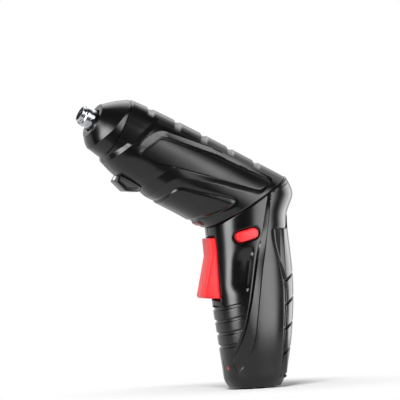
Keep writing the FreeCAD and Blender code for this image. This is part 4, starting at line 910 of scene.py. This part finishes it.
def bevelled(blocks, form):
    leastBend, flat, leastArea = 0.12, 0.99, 20
    mesh = bmesh.new()  # each block is an outline and the two Y that it spans
    for outline, low, high in blocks:
        rows = [[mesh.verts.new((x, y, z)) for x, z in outline] for y in (low, high)]
        mesh.faces.new(rows[0])
        mesh.faces.new(rows[1][::-1])
        for i in range(len(outline)):
            j = (i + 1) % len(outline)
            mesh.faces.new((rows[0][j], rows[0][i], rows[1][i], rows[1][j]))
    bmesh.ops.recalc_face_normals(mesh, faces=mesh.faces)
    bent = [e for e in mesh.edges if e.calc_face_angle() > leastBend]
    bmesh.ops.bevel(mesh, geom=bent, offset=form["bevel"], segments=form["segments"], affect="EDGES",
                    profile=0.5, clamp_overlap=True)
    if "inset" in form:
        border, drop = form["inset"]
        sides = [f for f in mesh.faces if abs(f.normal.y) > flat and f.calc_area() > leastArea]
        bmesh.ops.inset_individual(mesh, faces=sides, thickness=border, depth=0)
        bmesh.ops.inset_individual(mesh, faces=sides, thickness=drop, depth=-drop)
    mesh.verts.index_update()
    verts = np.array([v.co for v in mesh.verts])
    faces = [[v.index for v in f.verts] for f in mesh.faces]
    mesh.free()
    return verts, faces


triggerForm = {"outline": [(-22.8, 84.3), (-22.35, 74.5), (-27.8, 52.6), (-26.8, 51.4), (-16.9, 50.3),
                           (-14.8, 84.3)], "half": 6.5, "bevel": 1.1, "segments": 4}
verts, faces = bevelled(acrossMiddle(triggerForm["outline"], triggerForm), triggerForm)
dressed("trigger", "trigger", "red_plastic", verts, faces, blockSharp)

lampForm = {"shares": [(0.88, 0.545), (0.88, 0.680), (1.09, 0.682), (1.19, 0.610), (1.05, 0.545)],
            "half": 5.5, "bevel": 0.7, "segments": 3, "inset": (1.3, 0.35)}
lampOutline = [(x * housing["radius"], u * housing["reach"]) for x, u in lampForm["shares"]]
verts, faces = bevelled(acrossMiddle(lampOutline, lampForm), lampForm)
dressed("lamp_housing", "head", "black_plastic", folded(verts), faces, blockSharp)

buttonForm = {"face": 21.1, "depth": 5.5, "core": (8.0, 4.0), "bevel": 0.75, "segments": 3, "steps": 32}


def stadium(centreX, centreZ, length, height, tilt, steps):
    points = []
    for end in (1, -1):
        for k in range(steps + 1):
            turn = math.pi * (k / steps - 0.5)
            a = end * ((length - height) / 2 + math.cos(turn) * height / 2)
            b = end * math.sin(turn) * height / 2
            points.append((centreX + a * math.cos(tilt) - b * math.sin(tilt),
                           centreZ + a * math.sin(tilt) + b * math.cos(tilt)))
    return points


buttonX, buttonZ, buttonLength, buttonHeight, buttonTilt, _ = handleShell["button"]
capOutline = stadium(buttonX, buttonZ, buttonLength, buttonHeight, buttonTilt, buttonForm["steps"])
coreOutline = stadium(buttonX, buttonZ, *buttonForm["core"], buttonTilt, buttonForm["steps"])
face, seat = buttonForm["face"], buttonForm["face"] - buttonForm["depth"]
buttonBlocks = [(capOutline, -face, -seat), (coreOutline, -seat, seat), (capOutline, seat, face)]
verts, faces = bevelled(buttonBlocks, buttonForm)
dressed("direction_button", "direction_button", "red_plastic", verts, faces, blockSharp)

lockForm = {"back": 17.7, "face": 23.0, "low": 16.45, "high": 20.05, "half": 5.5, "bevel": 0.5, "segments": 3}
lockCorners = ("back", "low"), ("back", "high"), ("face", "high"), ("face", "low")
lockOutline = [(lockForm[v], lockForm[u]) for v, u in lockCorners]
verts, faces = bevelled(acrossMiddle(lockOutline, lockForm), lockForm)
# the lock button takes the darkened red: painted shade on the trigger's red plastic
dressed("lock_button", "lock_button", "red_plastic", folded(verts), faces, blockSharp, "red_plastic_painted_shade")
print("trigger, lamp and buttons made")


# chuck sleeve, turned about the head's axis

sleeveForm = {"around": 96, "sharp": 20,
              "profile": [(4.6, 95.25), (5.45, 95.25), (5.6, 95.4), (5.6, 100.6), (5.2, 100.9), (5.2, 101.5),
                          (5.72, 101.8), (5.72, 103.6), (5.25, 104.15), (4.6, 104.15)]}


def turnedForm(profile, around):
    angle = np.linspace(0, 2 * math.pi, around, endpoint=False)
    rows = [np.column_stack([-r * np.cos(angle), -r * np.sin(angle), u + 0 * angle]) for r, u in profile]
    return np.concatenate(rows), ringFaces(len(rows), around)


verts, faces = turnedForm(sleeveForm["profile"], sleeveForm["around"])
dressed("chuck_sleeve", "chuck_sleeve", "bright_chrome", folded(verts), faces, sleeveForm["sharp"])
print("chuck sleeve made")


# stage, light and camera

stage = {"floorRadius": 0.22, "floorSides": 64, "fade": (0.035, 0.13), "fill": 0.40,
         "middle": (-0.02, 0.0, 0.09),
         # name, azimuth, elevation, distance, width, height, power, and if it lights matt or gloss
         "lamps": (("keySoftbox", -30, 45, 0.90, 0.45, 0.45, 18.0, True),
                   ("leftCard", -62, 6, 0.90, 0.74, 1.30, 36.0, False),
                   ("rightCard", 36, 2, 0.90, 0.84, 1.20, 21.0, False),
                   ("rimCard", 104, -2, 0.90, 0.90, 0.90, 10.0, False),
                   ("topCard", 160, 50, 0.90, 1.20, 0.80, 6.0, False)),
         "softEdge": 0.32,  # share of a card over which its edge fades
         "flagRadius": 2.8, "flagReach": math.radians(98), "flagLift": 8, "flagRings": 12, "flagSpokes": 48,
         "distance": 2.50, "scale": 0.554, "sensor": 36.0, "azimuth": -20, "roll": math.asin(9.5 / 184.25),
         "pivotPixel": (242.5, 202.5), "frame": 400}
stageMiddle = Vector(stage["middle"])


def towards(azimuth, elevation):  # azimuth 0 is in front of the left side
    a, e = math.radians(azimuth), math.radians(elevation)
    return Vector((math.sin(a) * math.cos(e), -math.cos(a) * math.cos(e), math.sin(e)))


def emptyTree(owner):
    owner.use_nodes = True
    owner.node_tree.nodes.clear()
    return owner.node_tree


def whiteSeen(tree):  # 1 for the camera, mirrors and glass
    ray = addNode(tree, "ShaderNodeLightPath").outputs
    seen = maths(tree, "MAXIMUM", ray["Is Camera Ray"], ray["Is Glossy Ray"])
    return maths(tree, "MAXIMUM", seen, ray["Is Transmission Ray"])


world = bpy.data.worlds.new("studio")
bpy.context.scene.world = world
tree = emptyTree(world)
strength = spread(tree, whiteSeen(tree), stage["fill"], 1.0)
sky = addNode(tree, "ShaderNodeBackground", {}, {"Color": (1, 1, 1, 1), "Strength": strength})
addNode(tree, "ShaderNodeOutputWorld", {}, {"Surface": sky.outputs[0]})

paper = bpy.data.materials.new("palePaper")  # matt by the foot to take the shadow, white farther out
tree = emptyTree(paper)
where = addNode(tree, "ShaderNodeTexCoord").outputs["Object"]
far = addNode(tree, "ShaderNodeVectorMath", {"operation": "LENGTH"}, {0: where}).outputs["Value"]
fade = spread(tree, far, 0.0, 1.0, *stage["fade"], "SMOOTHSTEP")
seen = maths(tree, "MULTIPLY", fade, whiteSeen(tree))
matte = addNode(tree, "ShaderNodeBsdfDiffuse", {}, {"Color": linear("f4f4f4")})
glow = addNode(tree, "ShaderNodeEmission", {}, {"Color": (1, 1, 1, 1), "Strength": 1.0})
mixed = addNode(tree, "ShaderNodeMixShader", {}, {0: seen, 1: matte.outputs[0], 2: glow.outputs[0]})
addNode(tree, "ShaderNodeOutputMaterial", {}, {"Surface": mixed.outputs[0]})
floorRadius, floorSides = stage["floorRadius"] / mm, stage["floorSides"]
floorTurns = [k * math.tau / floorSides for k in range(floorSides)]
floorVerts = [(0, 0, 0)] + [(math.cos(t) * floorRadius, math.sin(t) * floorRadius, 0) for t in floorTurns]
floorFaces = [(0, 1 + k, 1 + (k + 1) % floorSides) for k in range(floorSides)]
floor = makePiece("floor", floorVerts, floorFaces, paper)

for name, azimuth, elevation, distance, width, height, power, onMatt in stage["lamps"]:
    lampData = bpy.data.lights.new(name, "AREA")
    lampData.shape = "RECTANGLE"
    lampData.size, lampData.size_y, lampData.energy = width, height, power
    lampObject = bpy.data.objects.new(name, lampData)
    bpy.context.scene.collection.objects.link(lampObject)
    lampObject.location = stageMiddle + towards(azimuth, elevation) * distance
    lampObject.rotation_euler = (-towards(azimuth, elevation)).to_track_quat("-Z", "Y").to_euler()
    lampObject.visible_diffuse, lampObject.visible_glossy = onMatt, not onMatt
    tree = emptyTree(lampData)
    spot = addNode(tree, "ShaderNodeNewGeometry").outputs["Parametric"]
    spot = addNode(tree, "ShaderNodeSeparateXYZ", {}, {0: spot}).outputs
    fades = []
    for axis in "XY":
        off = maths(tree, "ABSOLUTE", maths(tree, "SUBTRACT", spot[axis], 0.5))
        fades.append(spread(tree, off, 1.0, 0.0, 0.5 - stage["softEdge"], 0.5, "SMOOTHSTEP"))
    shine = addNode(tree, "ShaderNodeEmission", {}, {"Strength": maths(tree, "MULTIPLY", *fades)})
    addNode(tree, "ShaderNodeOutputLight", {}, {"Surface": shine.outputs[0]})

# a dark flag behind the camera, seen only in reflections, keeps the black plastic black
rings, spokes = stage["flagRings"], stage["flagSpokes"]
facing = towards(stage["azimuth"], stage["flagLift"])
flagSide = facing.cross(Vector((0, 0, 1))).normalized()
flagTop = flagSide.cross(facing)
flagVerts = [tuple((stageMiddle + facing * stage["flagRadius"]) / mm)]
for k in range(1, rings + 1):
    lean = stage["flagReach"] * k / rings
    for j in range(spokes):
        t = math.tau * j / spokes
        way = facing * math.cos(lean) + (flagSide * math.cos(t) + flagTop * math.sin(t)) * math.sin(lean)
        flagVerts.append(tuple((stageMiddle + way * stage["flagRadius"]) / mm))
flagFaces = [(0, 1 + j, 1 + (j + 1) % spokes) for j in range(spokes)]
for k in range(rings - 1):
    for j in range(spokes):
        i, n = 1 + k * spokes + j, 1 + k * spokes + (j + 1) % spokes
        flagFaces.append((i, i + spokes, n + spokes, n))
cloth, tree, shader = startFinish("blackFlagCloth")  # gives the eye a plain dark patch in the gloss
setInputs(tree, shader, {"Base Color": linear("0c0c0c"), "Roughness": 0.9})
flag = makePiece("flag", flagVerts, flagFaces, cloth)
flag.visible_camera = flag.visible_diffuse = flag.visible_transmission = flag.visible_shadow = False

roll, pixel = stage["roll"], stage["scale"] * mm
back = towards(stage["azimuth"], 0)
level = Vector((-back.y, back.x, 0))
right = level * math.cos(roll) - Vector((0, 0, math.sin(roll)))
up = level * math.sin(roll) + Vector((0, 0, math.cos(roll)))
pivotX, pivotY = stage["pivotPixel"]
offX, offY = (stage["frame"] / 2 - pivotX) * pixel, (pivotY - stage["frame"] / 2) * pixel
aim = Vector(pivot) * mm + right * offX + up * offY
camera = bpy.data.cameras.new("camera")
camera.sensor_width = stage["sensor"]
camera.lens = stage["sensor"] * stage["distance"] / (stage["frame"] * pixel)
cameraObject = bpy.data.objects.new("camera", camera)
bpy.context.scene.collection.objects.link(cameraObject)
pose = Matrix((right, up, back)).transposed().to_4x4()
pose.translation = aim + back * stage["distance"]
cameraObject.matrix_world = pose
bpy.context.scene.camera = cameraObject
bpy.context.scene.view_settings.view_transform = "Standard"
print("stage set")
